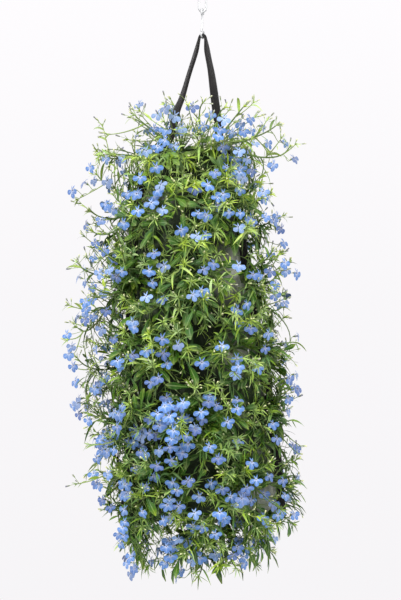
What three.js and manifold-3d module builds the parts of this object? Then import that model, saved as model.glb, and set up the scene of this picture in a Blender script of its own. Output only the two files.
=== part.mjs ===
// A hanging flower pouch planted with trailing lobelia.
// Millimetres, +Z up, front towards -Y. The origin is the inner top of the hanging link,
// where whatever carries the pouch takes hold.
import * as THREE from 'three';
import Module from 'manifold-3d';

const wasm = await Module();
wasm.setup();

// ---------------------------------------------------------------- driving dimensions

const GAP = 0.35;
const FILM = 1.0;

// Centrelines of the hanging hardware. The link lies in the XZ plane.
const LINK = { wire: 1.25, halfWidth: 4.25, top: 1.25, bottom: -36.15, bendSteps: 6 };
const HOOK = {
  wire: 1.1, upperRadius: 3.4, lowerRadius: 4.9, upperCentre: -36.8, lowerCentre: -62.8, azimuth: 70,
};
const HOOK_EYE = { degrees: 280, step: 35, neck: 1.4 };

// The pouch, from mouth to bottom weld: height, centre, half width and half depth.
const POUCH = [
  { z: -204, x: -11.5, a: 33.5, b: 33.5 },
  { z: -222, x: -14, a: 42, b: 40 },
  { z: -262, x: -18, a: 54.5, b: 50 },
  { z: -340, x: -17, a: 63, b: 56 },
  { z: -420, x: -11, a: 71, b: 60 },
  { z: -500, x: -3.5, a: 78.5, b: 61 },
  { z: -570, x: 1, a: 83.5, b: 56 },
  { z: -612, x: 1.5, a: 86.5, b: 40 },
  { z: -630, x: 0.5, a: 89, b: 19 },
  { z: -645, x: -1, a: 92, b: 2 },
];
const POUCH_FLOOR = -630;
const POUCH_SIDES = 14;
const COMPOST_TOP = -213;
const COMPOST_CROWN = { height: 3.5, scale: 0.55 };

// The strap: one webbing folded lengthwise, over the hook and down both side seams. It turns a
// quarter between the two heights.
const STRAP = {
  bendRadius: 3.6, hookWidth: 4.6, hookThickness: 3.4, seamWidth: 10, seamThickness: 3,
  seamGap: 0.4, chamfer: 1, turnFrom: -72, turnTo: -135,
};
const STRAP_BEND = [162, 126, 90, 52, 14];
const STRAP_LEFT = [[-38.5, -186], [-31, -155], [-25, -140], [-16, -110], [-7.8, -84]];
const STRAP_RIGHT = [[5.9, -84], [10.8, -110], [16, -150], [18.6, -168], [20.5, -187]];
const STRAP_BOTTOM = -642;

// Planting slits: a lozenge hole through the film and a socket in the compost behind it.
const SLIT = { halfWidth: 6, halfHeight: 9, depth: 14.5, filmDepth: 6, clearOutside: 8 };
const CROWN = { fit: 0.93, inner: -14, rim: 2.2, shoulder: 7.5, shoulderRadius: 3.8, tip: 11 };
const FRONT_BACK_ROW = [35, 145, 215, 325];
const SIDE_ROW = [0, 66, 180, 294];
const ROWS = [
  { z: -274, azimuths: FRONT_BACK_ROW },
  { z: -356, azimuths: SIDE_ROW },
  { z: -438, azimuths: FRONT_BACK_ROW },
  { z: -520, azimuths: SIDE_ROW },
  { z: -590, azimuths: FRONT_BACK_ROW },
];
const MOUTH_PLANTS = [[-13, -12], [13, -13], [12, 13], [-13, 12]];

// How far the outermost shoot tips reach: height, left, right, and front or back.
const REACH = [
  { z: -146, left: -22, right: 20, depth: 15 },
  { z: -152, left: -78, right: 76, depth: 50 },
  { z: -182, left: -130, right: 100, depth: 88 },
  { z: -250, left: -142, right: 94, depth: 104 },
  { z: -370, left: -158, right: 110, depth: 116 },
  { z: -460, left: -154, right: 106, depth: 118 },
  { z: -575, left: -146, right: 102, depth: 112 },
  { z: -625, left: -128, right: 112, depth: 104 },
  { z: -672, left: -102, right: 96, depth: 78 },
  { z: -708, left: -66, right: 64, depth: 44 },
  { z: -714, left: -20, right: 24, depth: 12 },
];
const SHOOTS = 112;
const SHOOTS_PER_PLANT = 7;
const FRONT_BIAS = 0.33;
const GOLDEN_TURN = 0.6180339887;
const LEAST_REACH = 0.84;
const HANGING = { from: 600, to: 690 };
const STEM = { root: 1.45, tip: 0.85, rootShare: 0.17, leave: 0.32, arrive: 0.34, nodeLength: 2.4 };
const NODE_SHARES = [
  { over: 80, shares: [0.38, 0.58, 0.76, 0.91] },
  { over: 48, shares: [0.46, 0.7, 0.89] },
  { over: 0, shares: [0.56, 0.86] },
];
const LEAFLESS = 0.32;
const PEDICEL = { radius: 0.72, shortest: 13, longest: 23, flare: 1.25 };
const BLOOM = { tube: 5, throat: 1.2, reach: 8.8, curl: 0.5, dip: 0.6 };
const LEAF = { thickness: 1.1, narrowest: 3.6, widest: 5.6, shortest: 15, longest: 27 };

// Clearances kept while growing: about stems and leaves, where each kind starts to count along
// its length, and the room kept about the strap, the seams and the crowns.
const CLEAR = { margin: 0.75, spacing: 3, stemFrom: 13, stalkFrom: 7, leafFrom: 9, strap: 6, crown: 8.5 };
const BLOOM_BALLS = { middle: 3.2, petal: 3.4, reach: 0.66, around: 6 };

// The cost of giving a shoot to a plant: climbing above it, and each shoot it already has.
const SHARING = { climb: 1.5, crowding: 6, slitReach: 40, mouthReach: 25, slitRise: 5, mouthRise: 60 };

// A bloom's outline seen from the front: a broad middle lobe, two side lobes and the small
// upper lip, as shares of its reach, anticlockwise from the upper lip.
const BLOOM_OUTLINE = [
  [0.40, 0.72], [-0.40, 0.72], [-0.36, 0.12], [-0.98, -0.24], [-0.42, -0.42],
  [-0.38, -1.0], [0.38, -1.0], [0.42, -0.42], [0.98, -0.24], [0.36, 0.12],
];
// The corner of the three-sided tube that each outline point grows from.
const BLOOM_CORNER = [0, 0, 1, 1, 1, 1, 2, 2, 2, 2];

const COLOURS = {
  steel: new THREE.MeshStandardMaterial({ color: 0xb9bcbf, roughness: 0.3, metalness: 1 }),
  webbing: new THREE.MeshStandardMaterial({ color: 0x1f1b1c, roughness: 0.85, metalness: 0 }),
  film: new THREE.MeshStandardMaterial({ color: 0x8f9a92, roughness: 0.35, metalness: 0 }),
  compost: new THREE.MeshStandardMaterial({ color: 0x2e241c, roughness: 0.95, metalness: 0 }),
  foliage: new THREE.MeshStandardMaterial({ color: 0x6b7c56, roughness: 0.6, metalness: 0 }),
};

// ---------------------------------------------------------------- small helpers

const UP = new THREE.Vector3(0, 0, 1);
const THIRD_TURN = 2 * Math.PI / 3;

function vec(x, y, z) {
  return new THREE.Vector3(x, y, z);
}

// Sum of scaled vectors: mix([a, 2], [b, 1]) is 2a + b.
function mix(...terms) {
  const sum = vec(0, 0, 0);
  for (const [vector, share] of terms) {
    sum.addScaledVector(vector, share);
  }
  return sum;
}

function unit(vector) {
  return vector.clone().normalize();
}

function lerp(from, to, share) {
  return from + (to - from) * share;
}

// Reads a table of stations, sorted downwards by z, at any height.
function stationAt(table, z) {
  let k = 0;
  while (k < table.length - 2 && z < table[k + 1].z) {
    k += 1;
  }
  const share = Math.min(1, Math.max(0, (table[k].z - z) / (table[k].z - table[k + 1].z)));
  const station = {};
  for (const key of Object.keys(table[k])) {
    station[key] = lerp(table[k][key], table[k + 1][key], share);
  }
  return station;
}

// A seeded generator of numbers from 0 to 1.
function seededRandom(seed) {
  let state = (seed * 69621 + 12345) % 2147483647;
  const draw = () => {
    state = (state * 48271) % 2147483647;
    return state / 2147483647;
  };
  draw();
  draw();
  draw();
  return draw;
}

function between(random, low, high) {
  return low + (high - low) * random();
}

// Two triangles for a wall with corners in order, split along its shorter diagonal.
function splitWall(points, [a, b, c, d]) {
  const shorter = points[a].distanceTo(points[c]) < points[b].distanceTo(points[d]);
  return shorter ? [[a, b, c], [a, c, d]] : [[a, b, d], [b, c, d]];
}

function geometryOf(points, faces) {
  const position = new Float32Array(points.length * 3);
  points.forEach((point, index) => point.toArray(position, index * 3));
  const geometry = new THREE.BufferGeometry();
  geometry.setAttribute('position', new THREE.BufferAttribute(position, 3));
  geometry.setIndex(faces.flat());
  return geometry;
}

// A closed skin through rings with equal numbers of points, each ring running anticlockwise
// about the way the skin advances. A loop joins its last ring to its first.
function loft(rings, loop = false) {
  const sides = rings[0].length;
  const points = rings.flat();
  const faces = [];
  const spans = loop ? rings.length : rings.length - 1;
  for (let span = 0; span < spans; span += 1) {
    const low = span * sides;
    const high = ((span + 1) % rings.length) * sides;
    for (let side = 0; side < sides; side += 1) {
      const next = (side + 1) % sides;
      faces.push(...splitWall(points, [low + side, low + next, high + next, high + side]));
    }
  }
  if (!loop) {
    const last = (rings.length - 1) * sides;
    for (let side = 1; side < sides - 1; side += 1) {
      faces.push([0, side + 1, side], [last, last + side, last + side + 1]);
    }
  }
  return geometryOf(points, faces);
}

// Rings square to a path. section(index) gives each ring's points as [across, along] pairs, and
// across(index) the direction of the first of them.
function sweep(path, section, across, loop = false) {
  const rings = path.map((point, index) => {
    const before = path[loop ? (index + path.length - 1) % path.length : Math.max(0, index - 1)];
    const after = path[loop ? (index + 1) % path.length : Math.min(path.length - 1, index + 1)];
    const forward = unit(after.clone().sub(before));
    const side = across(index, forward);
    side.addScaledVector(forward, -side.dot(forward)).normalize();
    const rise = forward.clone().cross(side);
    return section(index).map(([u, v]) => mix([point, 1], [side, u], [rise, v]));
  });
  return loft(rings, loop);
}

function roundSection(radius, sides) {
  const corners = [];
  for (let side = 0; side < sides; side += 1) {
    const angle = (side + 0.5) * 2 * Math.PI / sides;
    corners.push([radius * Math.cos(angle), radius * Math.sin(angle)]);
  }
  return corners;
}

function toSolid(geometry) {
  return new wasm.Manifold(new wasm.Mesh({
    numProp: 3,
    vertProperties: geometry.getAttribute('position').array,
    triVerts: new Uint32Array(geometry.getIndex().array),
  }));
}

function fromSolid(solid) {
  const mesh = solid.getMesh();
  const geometry = new THREE.BufferGeometry();
  geometry.setAttribute('position', new THREE.BufferAttribute(mesh.vertProperties.slice(), 3));
  geometry.setIndex([...mesh.triVerts]);
  return geometry;
}

function cut(geometry, cutters) {
  let solid = toSolid(geometry);
  for (const cutter of cutters) {
    solid = solid.subtract(toSolid(cutter));
  }
  return fromSolid(solid);
}

// ---------------------------------------------------------------- hanging hardware

function linkGeometry() {
  const { wire, halfWidth, top, bottom, bendSteps } = LINK;
  const path = [];
  for (const [centre, start] of [[top - halfWidth, 0], [bottom + halfWidth, Math.PI]]) {
    for (let step = 0; step <= bendSteps; step += 1) {
      const angle = start + Math.PI * step / bendSteps;
      path.push(vec(halfWidth * Math.cos(angle), 0, centre + halfWidth * Math.sin(angle)));
    }
  }
  return sweep(path, () => roundSection(wire, 6), () => vec(0, 1, 0), true);
}

// A wire hook with a round eye at each end, in one upright plane turned towards the viewer.
function hookGeometry() {
  const { wire, upperRadius, lowerRadius, upperCentre, lowerCentre, azimuth } = HOOK;
  const turn = THREE.MathUtils.degToRad(azimuth);
  const place = (across, z) => vec(across * Math.cos(turn), across * Math.sin(turn), z);
  const eye = (centre, radius, start) => {
    const points = [];
    for (let swept = 0; swept <= HOOK_EYE.degrees; swept += HOOK_EYE.step) {
      const angle = THREE.MathUtils.degToRad(start + swept);
      points.push(place(radius * Math.cos(angle), centre + radius * Math.sin(angle)));
    }
    return points;
  };
  const opening = 270 - HOOK_EYE.degrees / 2;
  const path = [
    ...eye(upperCentre, upperRadius, opening - 180),
    place(0, upperCentre - upperRadius * HOOK_EYE.neck),
    place(0, lowerCentre + lowerRadius * HOOK_EYE.neck),
    ...eye(lowerCentre, lowerRadius, opening),
  ];
  const normal = vec(-Math.sin(turn), Math.cos(turn), 0);
  return sweep(path, () => roundSection(wire, 6), () => normal.clone());
}

// ---------------------------------------------------------------- pouch, compost and strap

// A point of the pouch's section, azimuth 0 at the front, anticlockwise seen from above.
function pouchPoint(z, azimuth, inset) {
  const { x, a, b } = stationAt(POUCH, z);
  return vec(x + (a - inset) * Math.sin(azimuth), -(b - inset) * Math.cos(azimuth), z);
}

function pouchRing(z, inset, scale = 1) {
  const ring = [];
  const centre = stationAt(POUCH, z).x;
  for (let side = 0; side < POUCH_SIDES; side += 1) {
    const point = pouchPoint(z, (side + 0.5) * 2 * Math.PI / POUCH_SIDES, inset);
    ring.push(vec(lerp(centre, point.x, scale), point.y * scale, z));
  }
  return ring;
}

// A lozenge prism along a slit's axis, from one depth to another.
function slitPrism(site, from, to) {
  const rings = [from, to].map((depth) => lozenge(site, depth, 1));
  return loft(rings);
}

function lozenge(site, depth, fit) {
  const centre = mix([site.at, 1], [site.out, depth]);
  return [
    mix([centre, 1], [site.wide, SLIT.halfWidth * fit]),
    mix([centre, 1], [site.high, SLIT.halfHeight * fit]),
    mix([centre, 1], [site.wide, -SLIT.halfWidth * fit]),
    mix([centre, 1], [site.high, -SLIT.halfHeight * fit]),
  ];
}

function pouchGeometry(sites) {
  const outer = POUCH.map(({ z }) => pouchRing(z, 0));
  const inner = POUCH.filter(({ z }) => z >= POUCH_FLOOR).map(({ z }) => pouchRing(z, FILM));
  const shell = loft([...outer.reverse(), ...inner]);
  const slits = sites.filter((site) => site.slit);
  return cut(shell, slits.map((site) => slitPrism(site, -SLIT.filmDepth, SLIT.clearOutside)));
}

function compostGeometry(sites) {
  const inset = FILM + GAP;
  const levels = POUCH.map(({ z }) => z).filter((z) => z < COMPOST_TOP && z > POUCH_FLOOR);
  const rings = [COMPOST_TOP, ...levels, POUCH_FLOOR + GAP].reverse().map((z) => pouchRing(z, inset));
  const crown = pouchRing(COMPOST_TOP, inset, COMPOST_CROWN.scale);
  crown.forEach((point) => point.setZ(COMPOST_TOP + COMPOST_CROWN.height));
  rings.push(crown);
  return cut(loft(rings), sites.map((site) => slitPrism(site, -SLIT.depth, SLIT.clearOutside)));
}

// The strap's centreline and how far each point is turned from lying over the hook (0) to lying
// along a side seam (1).
function strapStations() {
  const edge = (side, z) => stationAt(POUCH, z).x + side * stationAt(POUCH, z).a;
  const seam = (side, z) => {
    const level = Math.min(POUCH[0].z - 3, z);
    const slope = (edge(side, level + 2) - edge(side, level - 2)) / 4;
    const away = side * (STRAP.seamGap + STRAP.seamWidth / 2) / Math.hypot(1, slope);
    return [edge(side, z) + away, z - slope * away];
  };
  const downwards = [...POUCH.map(({ z }) => z).filter((z) => z > STRAP_BOTTOM), STRAP_BOTTOM];
  const left = [...downwards.map((z) => seam(-1, z)).reverse(), ...STRAP_LEFT];
  const right = [...STRAP_RIGHT, ...downwards.map((z) => seam(1, z))];
  const bendCentre = HOOK.lowerCentre - HOOK.lowerRadius;
  const bend = STRAP_BEND.map((degrees) => {
    const angle = THREE.MathUtils.degToRad(degrees);
    return [STRAP.bendRadius * Math.cos(angle), bendCentre + STRAP.bendRadius * Math.sin(angle)];
  });
  return [...left, ...bend, ...right].map(([x, z]) => {
    return { at: vec(x, 0, z), turned: THREE.MathUtils.smoothstep(-z, -STRAP.turnFrom, -STRAP.turnTo) };
  });
}

function strapGeometry() {
  const stations = strapStations();
  const section = (index) => {
    const { turned } = stations[index];
    const half = lerp(STRAP.hookWidth, STRAP.seamWidth, Math.sqrt(turned)) / 2;
    const thick = lerp(STRAP.hookThickness, STRAP.seamThickness, turned) / 2;
    const flat = half - STRAP.chamfer;
    return [[half, 0], [flat, thick], [-flat, thick], [-half, 0], [-flat, -thick], [flat, -thick]];
  };
  const across = (index, forward) => {
    const quarter = stations[index].turned * Math.PI / 2;
    const inPlane = forward.clone().cross(vec(0, 1, 0));
    return mix([vec(0, 1, 0), Math.cos(quarter)], [inPlane, Math.sin(quarter)]);
  };
  return sweep(stations.map(({ at }) => at), section, across);
}

// ---------------------------------------------------------------- where the plants stand

// A site has a point on the pouch or the compost, the way out of it, and two cross directions.
function plantSites() {
  const sites = MOUTH_PLANTS.map(([dx, dy]) => {
    const at = vec(stationAt(POUCH, COMPOST_TOP).x + dx, dy, COMPOST_TOP + 1);
    return { at, out: UP.clone(), wide: vec(1, 0, 0), high: vec(0, 1, 0), slit: false };
  });
  for (const { z, azimuths } of ROWS) {
    const { a, b } = stationAt(POUCH, z);
    for (const degrees of azimuths) {
      const azimuth = THREE.MathUtils.degToRad(degrees);
      const at = pouchPoint(z, azimuth, 0);
      const out = unit(vec(Math.sin(azimuth) / a, -Math.cos(azimuth) / b, 0));
      sites.push({ at, out, wide: UP.clone().cross(out), high: UP.clone(), slit: true });
    }
  }
  return sites;
}

// The crown: a lozenge stub standing in its slit, with a shoulder and a point outside. Its twelve
// outer faces are where shoots can grow from.
function crownOf(site) {
  const points = [...lozenge(site, CROWN.inner, CROWN.fit), ...lozenge(site, CROWN.rim, CROWN.fit)];
  const shoulder = mix([site.at, 1], [site.out, CROWN.shoulder]);
  const reach = CROWN.shoulderRadius / Math.SQRT2;
  for (const [wide, high] of [[1, 1], [-1, 1], [-1, -1], [1, -1]]) {
    points.push(mix([shoulder, 1], [site.wide, wide * reach], [site.high, high * reach]));
  }
  points.push(mix([site.at, 1], [site.out, CROWN.tip]));
  const closed = [[0, 2, 1], [0, 3, 2]];
  const buds = [];
  for (let side = 0; side < 4; side += 1) {
    const next = (side + 1) % 4;
    closed.push([side, next, 4 + next], [side, 4 + next, 4 + side]);
    buds.push([4 + side, 4 + next, 8 + side], [4 + next, 8 + next, 8 + side], [8 + side, 8 + next, 12]);
  }
  return { points, closed, buds };
}

function faceFrame(points, face) {
  const [a, b, c] = face.map((index) => points[index]);
  const centre = mix([a, 1 / 3], [b, 1 / 3], [c, 1 / 3]);
  const normal = b.clone().sub(a).cross(c.clone().sub(a)).normalize();
  return { centre, normal };
}

// ---------------------------------------------------------------- growth: keeping clear

// Every grown element is a chain of balls. A new one is kept only where it clears all others.
const CELL = 12;
const taken = new Map();

function cellKey(x, y, z) {
  return `${x},${y},${z}`;
}

function occupy(balls) {
  for (const ball of balls) {
    const cell = ball.at.toArray().map((value) => Math.floor(value / CELL));
    const key = cellKey(...cell);
    if (!taken.has(key)) {
      taken.set(key, []);
    }
    taken.get(key).push(ball);
  }
}

function clearOfGrowth(balls) {
  for (const ball of balls) {
    const [cx, cy, cz] = ball.at.toArray().map((value) => Math.floor(value / CELL));
    for (let x = cx - 1; x <= cx + 1; x += 1) {
      for (let y = cy - 1; y <= cy + 1; y += 1) {
        for (let z = cz - 1; z <= cz + 1; z += 1) {
          for (const other of taken.get(cellKey(x, y, z)) ?? []) {
            if (ball.at.distanceTo(other.at) < ball.radius + other.radius) {
              return false;
            }
          }
        }
      }
    }
  }
  return true;
}

// Outside the film, or in the mouth above the compost.
function clearOfPouch(balls) {
  return balls.every(({ at, radius }) => {
    if (at.z > POUCH[0].z + radius || at.z < POUCH[POUCH.length - 1].z - radius) {
      return true;
    }
    const { x, a, b } = stationAt(POUCH, at.z);
    const away = (margin) => Math.hypot((at.x - x) / (a + margin), at.y / (b + margin));
    const inMouth = at.z > COMPOST_TOP + COMPOST_CROWN.height + radius && away(-FILM - radius - 1) < 1;
    return inMouth || away(radius + 1) > 1;
  });
}

function chain(curve, length, from, halfWidth) {
  const balls = [];
  for (let along = from; along <= length; along += CLEAR.spacing) {
    balls.push({ at: curve(along / length), radius: halfWidth + CLEAR.margin });
  }
  return balls;
}

// ---------------------------------------------------------------- growth: where shoots go

// Tips are spread evenly over the reach, by area down it and by the golden angle around it.
function shootTips() {
  const areas = [0];
  for (let k = 1; k < REACH.length; k += 1) {
    const [above, below] = [REACH[k - 1], REACH[k]];
    const around = above.right - above.left + below.right - below.left + 2 * (above.depth + below.depth);
    const widening = (below.right - below.left - above.right + above.left) / 2;
    areas.push(areas[k - 1] + around * Math.hypot(above.z - below.z, widening));
  }
  const tips = [];
  for (let shoot = 0; shoot < SHOOTS; shoot += 1) {
    const random = seededRandom(100 + shoot);
    const area = areas[areas.length - 1] * (shoot + 0.5) / SHOOTS;
    const k = areas.findIndex((value) => value >= area);
    const share = (area - areas[k - 1]) / (areas[k] - areas[k - 1]);
    const [above, below] = [REACH[k - 1], REACH[k]];
    const left = lerp(above.left, below.left, share);
    const right = lerp(above.right, below.right, share);
    const depth = lerp(above.depth, below.depth, share);
    const even = 2 * Math.PI * ((shoot * GOLDEN_TURN) % 1);
    const azimuth = even - FRONT_BIAS * Math.sin(even);
    const reach = between(random, LEAST_REACH, 1);
    const x = (left + right) / 2 + (right - left) / 2 * reach * Math.sin(azimuth);
    tips.push(vec(x, -depth * reach * Math.cos(azimuth), lerp(above.z, below.z, share)));
  }
  return tips;
}

// Each tip belongs to the nearest plant with room, and rather one above it than below.
function shareOut(tips, sites) {
  const counts = sites.map(() => 0);
  return tips.map((tip) => {
    let best = -1;
    let least = Infinity;
    sites.forEach((site, index) => {
      const start = mix([site.at, 1], [site.out, site.slit ? SHARING.slitReach : SHARING.mouthReach]);
      const rise = site.slit ? SHARING.slitRise : SHARING.mouthRise;
      const climb = Math.max(0, tip.z - start.z - rise);
      const cost = tip.distanceTo(start) + SHARING.climb * climb + SHARING.crowding * counts[index];
      if (counts[index] < SHOOTS_PER_PLANT && cost < least) {
        least = cost;
        best = index;
      }
    });
    counts[best] += 1;
    return best;
  });
}

// Away from the pouch's middle, level.
function outward(point) {
  const middle = stationAt(POUCH, point.z).x;
  return unit(vec(point.x - middle, point.y, 0));
}

// A shoot arches out of its crown and turns up, or hangs where it is low down.
function growStem(site, crown, tip, seed) {
  const random = seededRandom(seed);
  for (let attempt = 0; attempt < 16; attempt += 1) {
    const spread = 3 + attempt * 1.5;
    const end = vec(
      tip.x + between(random, -spread, spread),
      tip.y + between(random, -spread, spread),
      tip.z + between(random, -spread, spread),
    );
    const ranked = crown.buds.filter((face) => !face.used).map((face) => {
      const frame = faceFrame(crown.points, face);
      return { face, frame, score: frame.normal.dot(unit(end.clone().sub(frame.centre))) };
    }).sort((first, second) => second.score - first.score);
    const { face, frame } = ranked[Math.min(attempt % 3, ranked.length - 1)];
    const length = end.distanceTo(frame.centre);
    const low = THREE.MathUtils.smoothstep(-end.z, HANGING.from, HANGING.to);
    const lift = lerp(between(random, 0.35, 0.9), between(random, -0.8, -0.2), low);
    const stray = vec(random() - 0.5, random() - 0.5, 0);
    const heading = unit(mix([outward(end), 0.7], [UP, lift], [stray, 0.7]));
    const leave = mix([frame.centre, 1], [frame.normal, length * STEM.leave]);
    const arrive = mix([end, 1], [heading, -length * STEM.arrive]);
    const curve = new THREE.CubicBezierCurve3(frame.centre, leave, arrive, end);
    const balls = chain((t) => curve.getPoint(t), length, CLEAR.stemFrom, STEM.root);
    if (clearOfPouch(balls) && clearOfGrowth(balls)) {
      face.used = true;
      occupy(balls);
      return { face, curve, length };
    }
  }
  return null;
}

// Nodes along a stem, where a flower stalk and leaves leave it, closer together near its tip.
function nodesOf(stem) {
  const shares = NODE_SHARES.find(({ over }) => stem.length > over).shares;
  return shares.map((share) => {
    return { share, at: stem.curve.getPoint(share), along: stem.curve.getTangent(share), leaves: [] };
  });
}

function bloomBalls(bloom) {
  const balls = [{ at: bloom.centre, radius: BLOOM_BALLS.middle }];
  const reach = BLOOM.reach * BLOOM_BALLS.reach;
  for (let petal = 0; petal < BLOOM_BALLS.around; petal += 1) {
    const angle = petal * 2 * Math.PI / BLOOM_BALLS.around;
    const [right, up] = [reach * Math.cos(angle), reach * Math.sin(angle)];
    const at = mix([bloom.centre, 1], [bloom.right, right], [bloom.up, up]);
    balls.push({ at, radius: BLOOM_BALLS.petal });
  }
  return balls;
}

// The part of a direction square to a node's stem.
function squareTo(along, direction) {
  return unit(mix([direction, 1], [along, -direction.dot(along)]));
}

// A flower on a thin stalk, its face turned outwards.
function growBloom(node, random) {
  for (let attempt = 0; attempt < 14; attempt += 1) {
    const out = outward(node.at);
    const around = UP.clone().cross(out);
    const wander = 0.6 + attempt * 0.04;
    const wish = unit(mix(
      [out, between(random, 0.35, 1)], [around, between(random, -wander, wander)],
      [UP, between(random, -0.35, 0.75)],
    ));
    const stalk = unit(mix([squareTo(node.along, wish), 0.8], [wish, 0.4]));
    const length = between(random, PEDICEL.shortest, PEDICEL.longest);
    const facing = unit(mix(
      [out, 1], [stalk, 0.25], [around, between(random, -0.45, 0.45)], [UP, between(random, -0.2, 0.4)],
    ));
    const centre = mix([node.at, 1], [stalk, length], [facing, BLOOM.tube * 0.5]);
    const right = unit(UP.clone().cross(facing));
    const up = facing.clone().cross(right);
    const bloom = { centre, facing, right, up, stalk };
    const base = mix([centre, 1], [facing, -BLOOM.tube]);
    const stalkAt = (t) => node.at.clone().lerp(base, t);
    const balls = [...chain(stalkAt, length, CLEAR.stalkFrom, PEDICEL.radius), ...bloomBalls(bloom)];
    if (clearOfPouch(balls) && clearOfGrowth(balls)) {
      occupy(balls);
      return bloom;
    }
  }
  return null;
}

function growLeaf(node, side, random) {
  for (let attempt = 0; attempt < 8; attempt += 1) {
    const length = between(random, LEAF.shortest, LEAF.longest) * (1 - attempt * 0.05);
    const heading = unit(mix(
      [side, 1], [node.along, between(random, 0.1, 0.7)], [UP, between(random, -0.2, 0.25)],
    ));
    const tip = mix([node.at, 1], [heading, length], [UP, -length * between(random, 0, 0.25)]);
    const middle = mix([node.at, 1], [heading, length * 0.5], [UP, length * 0.06]);
    const width = between(random, LEAF.narrowest, LEAF.widest);
    const curve = new THREE.QuadraticBezierCurve3(node.at, middle, tip);
    const balls = chain((t) => curve.getPoint(t), length, CLEAR.leafFrom, width / 2);
    if (clearOfPouch(balls) && clearOfGrowth(balls)) {
      occupy(balls);
      return { middle, tip, width, heading };
    }
  }
  return null;
}

// ---------------------------------------------------------------- growth: the skin of a plant

// One closed skin of triangles. A branch starts by opening a triangle and growing from its edge.
class Skin {
  constructor(points, faces) {
    this.points = points.map((point) => point.clone());
    this.faces = [];
    faces.forEach((face) => this.face(face));
  }

  face(corners) {
    corners.box = new THREE.Box3().setFromPoints(corners.map((index) => this.points[index]));
    this.faces.push(corners);
  }

  ring(centre, forward, radius, first) {
    const side = unit(mix([first, 1], [forward, -first.dot(forward)]));
    const rise = forward.clone().cross(side);
    return [0, 1, 2].map((corner) => {
      const [along, above] = [Math.cos(corner * THIRD_TURN), Math.sin(corner * THIRD_TURN)];
      return this.point(mix([centre, 1], [side, radius * along], [rise, radius * above]));
    });
  }

  point(position) {
    this.points.push(position);
    return this.points.length - 1;
  }

  // Walls from one triangle to the next, paired so that they twist least. Returns the wall faces
  // of each side in turn.
  grow(from, to) {
    const twist = [0, 1, 2].map((shift) => to.reduce((sum, index, corner) => {
      return sum + this.points[index].distanceTo(this.points[from[(corner + shift) % 3]]);
    }, 0));
    const shift = twist.indexOf(Math.min(...twist));
    const base = to.map((index, corner) => from[(corner + shift) % 3]);
    return to.map((index, corner) => {
      const next = (corner + 1) % 3;
      const wall = splitWall(this.points, [base[corner], base[next], to[next], to[corner]]);
      wall.forEach((face) => this.face(face));
      return wall;
    });
  }

  close(ring, tip) {
    const end = this.point(tip);
    ring.forEach((index, corner) => this.face([index, ring[(corner + 1) % 3], end]));
  }

  // Opens a face and builds a branch on it, or takes it back where it would pass through the skin.
  branch(face, build) {
    const [pointCount, faceCount] = [this.points.length, this.faces.length];
    face.opened = true;
    build(this, face);
    if (!this.crossedBy(faceCount)) {
      return true;
    }
    this.points.length = pointCount;
    this.faces.length = faceCount;
    face.opened = false;
    return false;
  }

  crossedBy(first) {
    return this.faces.slice(first).some((face) => this.faces.some((other) => {
      const near = !other.opened && face.box.intersectsBox(other.box);
      return near && (this.pierces(face, other) || this.pierces(other, face));
    }));
  }

  // Whether an edge of one face, away from their shared corners, passes through another face.
  pierces(face, other) {
    const [a, b, c] = other.map((index) => this.points[index]);
    return face.some((index, corner) => {
      const next = face[(corner + 1) % 3];
      if (other.includes(index) || other.includes(next)) {
        return false;
      }
      const [from, to] = [this.points[index], this.points[next]];
      const ray = new THREE.Ray(from, unit(to.clone().sub(from)));
      const hit = ray.intersectTriangle(a, b, c, false, vec(0, 0, 0));
      return hit !== null && hit.distanceTo(from) < to.distanceTo(from);
    });
  }

  geometry() {
    return geometryOf(this.points, this.faces.filter((face) => !face.opened));
  }
}

function skinBloom(skin, face, bloom) {
  const { centre, facing, right, up } = bloom;
  const base = mix([centre, 1], [facing, -BLOOM.tube]);
  const ring = skin.ring(base, facing, PEDICEL.radius * PEDICEL.flare, up);
  skin.grow(face, ring);
  const outline = BLOOM_OUTLINE.map(([u, v]) => {
    const curl = Math.hypot(u, v) > 0.7 ? BLOOM.curl : -BLOOM.dip;
    return skin.point(mix([centre, 1], [right, u * BLOOM.reach], [up, v * BLOOM.reach], [facing, curl]));
  });
  const throat = skin.point(mix([centre, 1], [facing, -BLOOM.throat]));
  outline.forEach((index, corner) => {
    const next = (corner + 1) % outline.length;
    const [here, there] = [ring[BLOOM_CORNER[corner]], ring[BLOOM_CORNER[next]]];
    skin.face([here, outline[next], index]);
    skin.face([index, outline[next], throat]);
    if (here !== there) {
      skin.face([here, there, outline[next]]);
    }
  });
}

function skinLeaf(skin, face, leaf) {
  const { middle, tip, width, heading } = leaf;
  const side = unit(UP.clone().cross(heading));
  const top = heading.clone().cross(side);
  const edge = top.clone().cross(heading);
  const blade = [
    skin.point(mix([middle, 1], [edge, width / 2])),
    skin.point(mix([middle, 1], [edge, -width / 2])),
    skin.point(mix([middle, 1], [top, -LEAF.thickness])),
  ];
  skin.grow(face, blade);
  skin.close(blade, tip);
}

function skinStem(skin, face, stem) {
  const { curve, length, nodes } = stem;
  const halfNode = STEM.nodeLength / 2 / length;
  let ring = skin.ring(curve.getPoint(STEM.rootShare), curve.getTangent(STEM.rootShare), STEM.root, UP);
  skin.grow(face, ring);
  for (const node of nodes) {
    const radius = lerp(STEM.root, STEM.tip, node.share);
    const corner = node.front.clone().applyAxisAngle(node.along, -THIRD_TURN / 2);
    const lower = skin.ring(curve.getPoint(node.share - halfNode), node.along, radius, corner);
    skin.grow(ring, lower);
    const upper = skin.ring(curve.getPoint(node.share + halfNode), node.along, radius, corner);
    const walls = skin.grow(lower, upper);
    node.walls = walls.map((wall) => ({ wall, normal: faceFrame(skin.points, wall[0]).normal }));
    ring = upper;
  }
  skin.close(ring, curve.getPoint(1));
}

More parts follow.
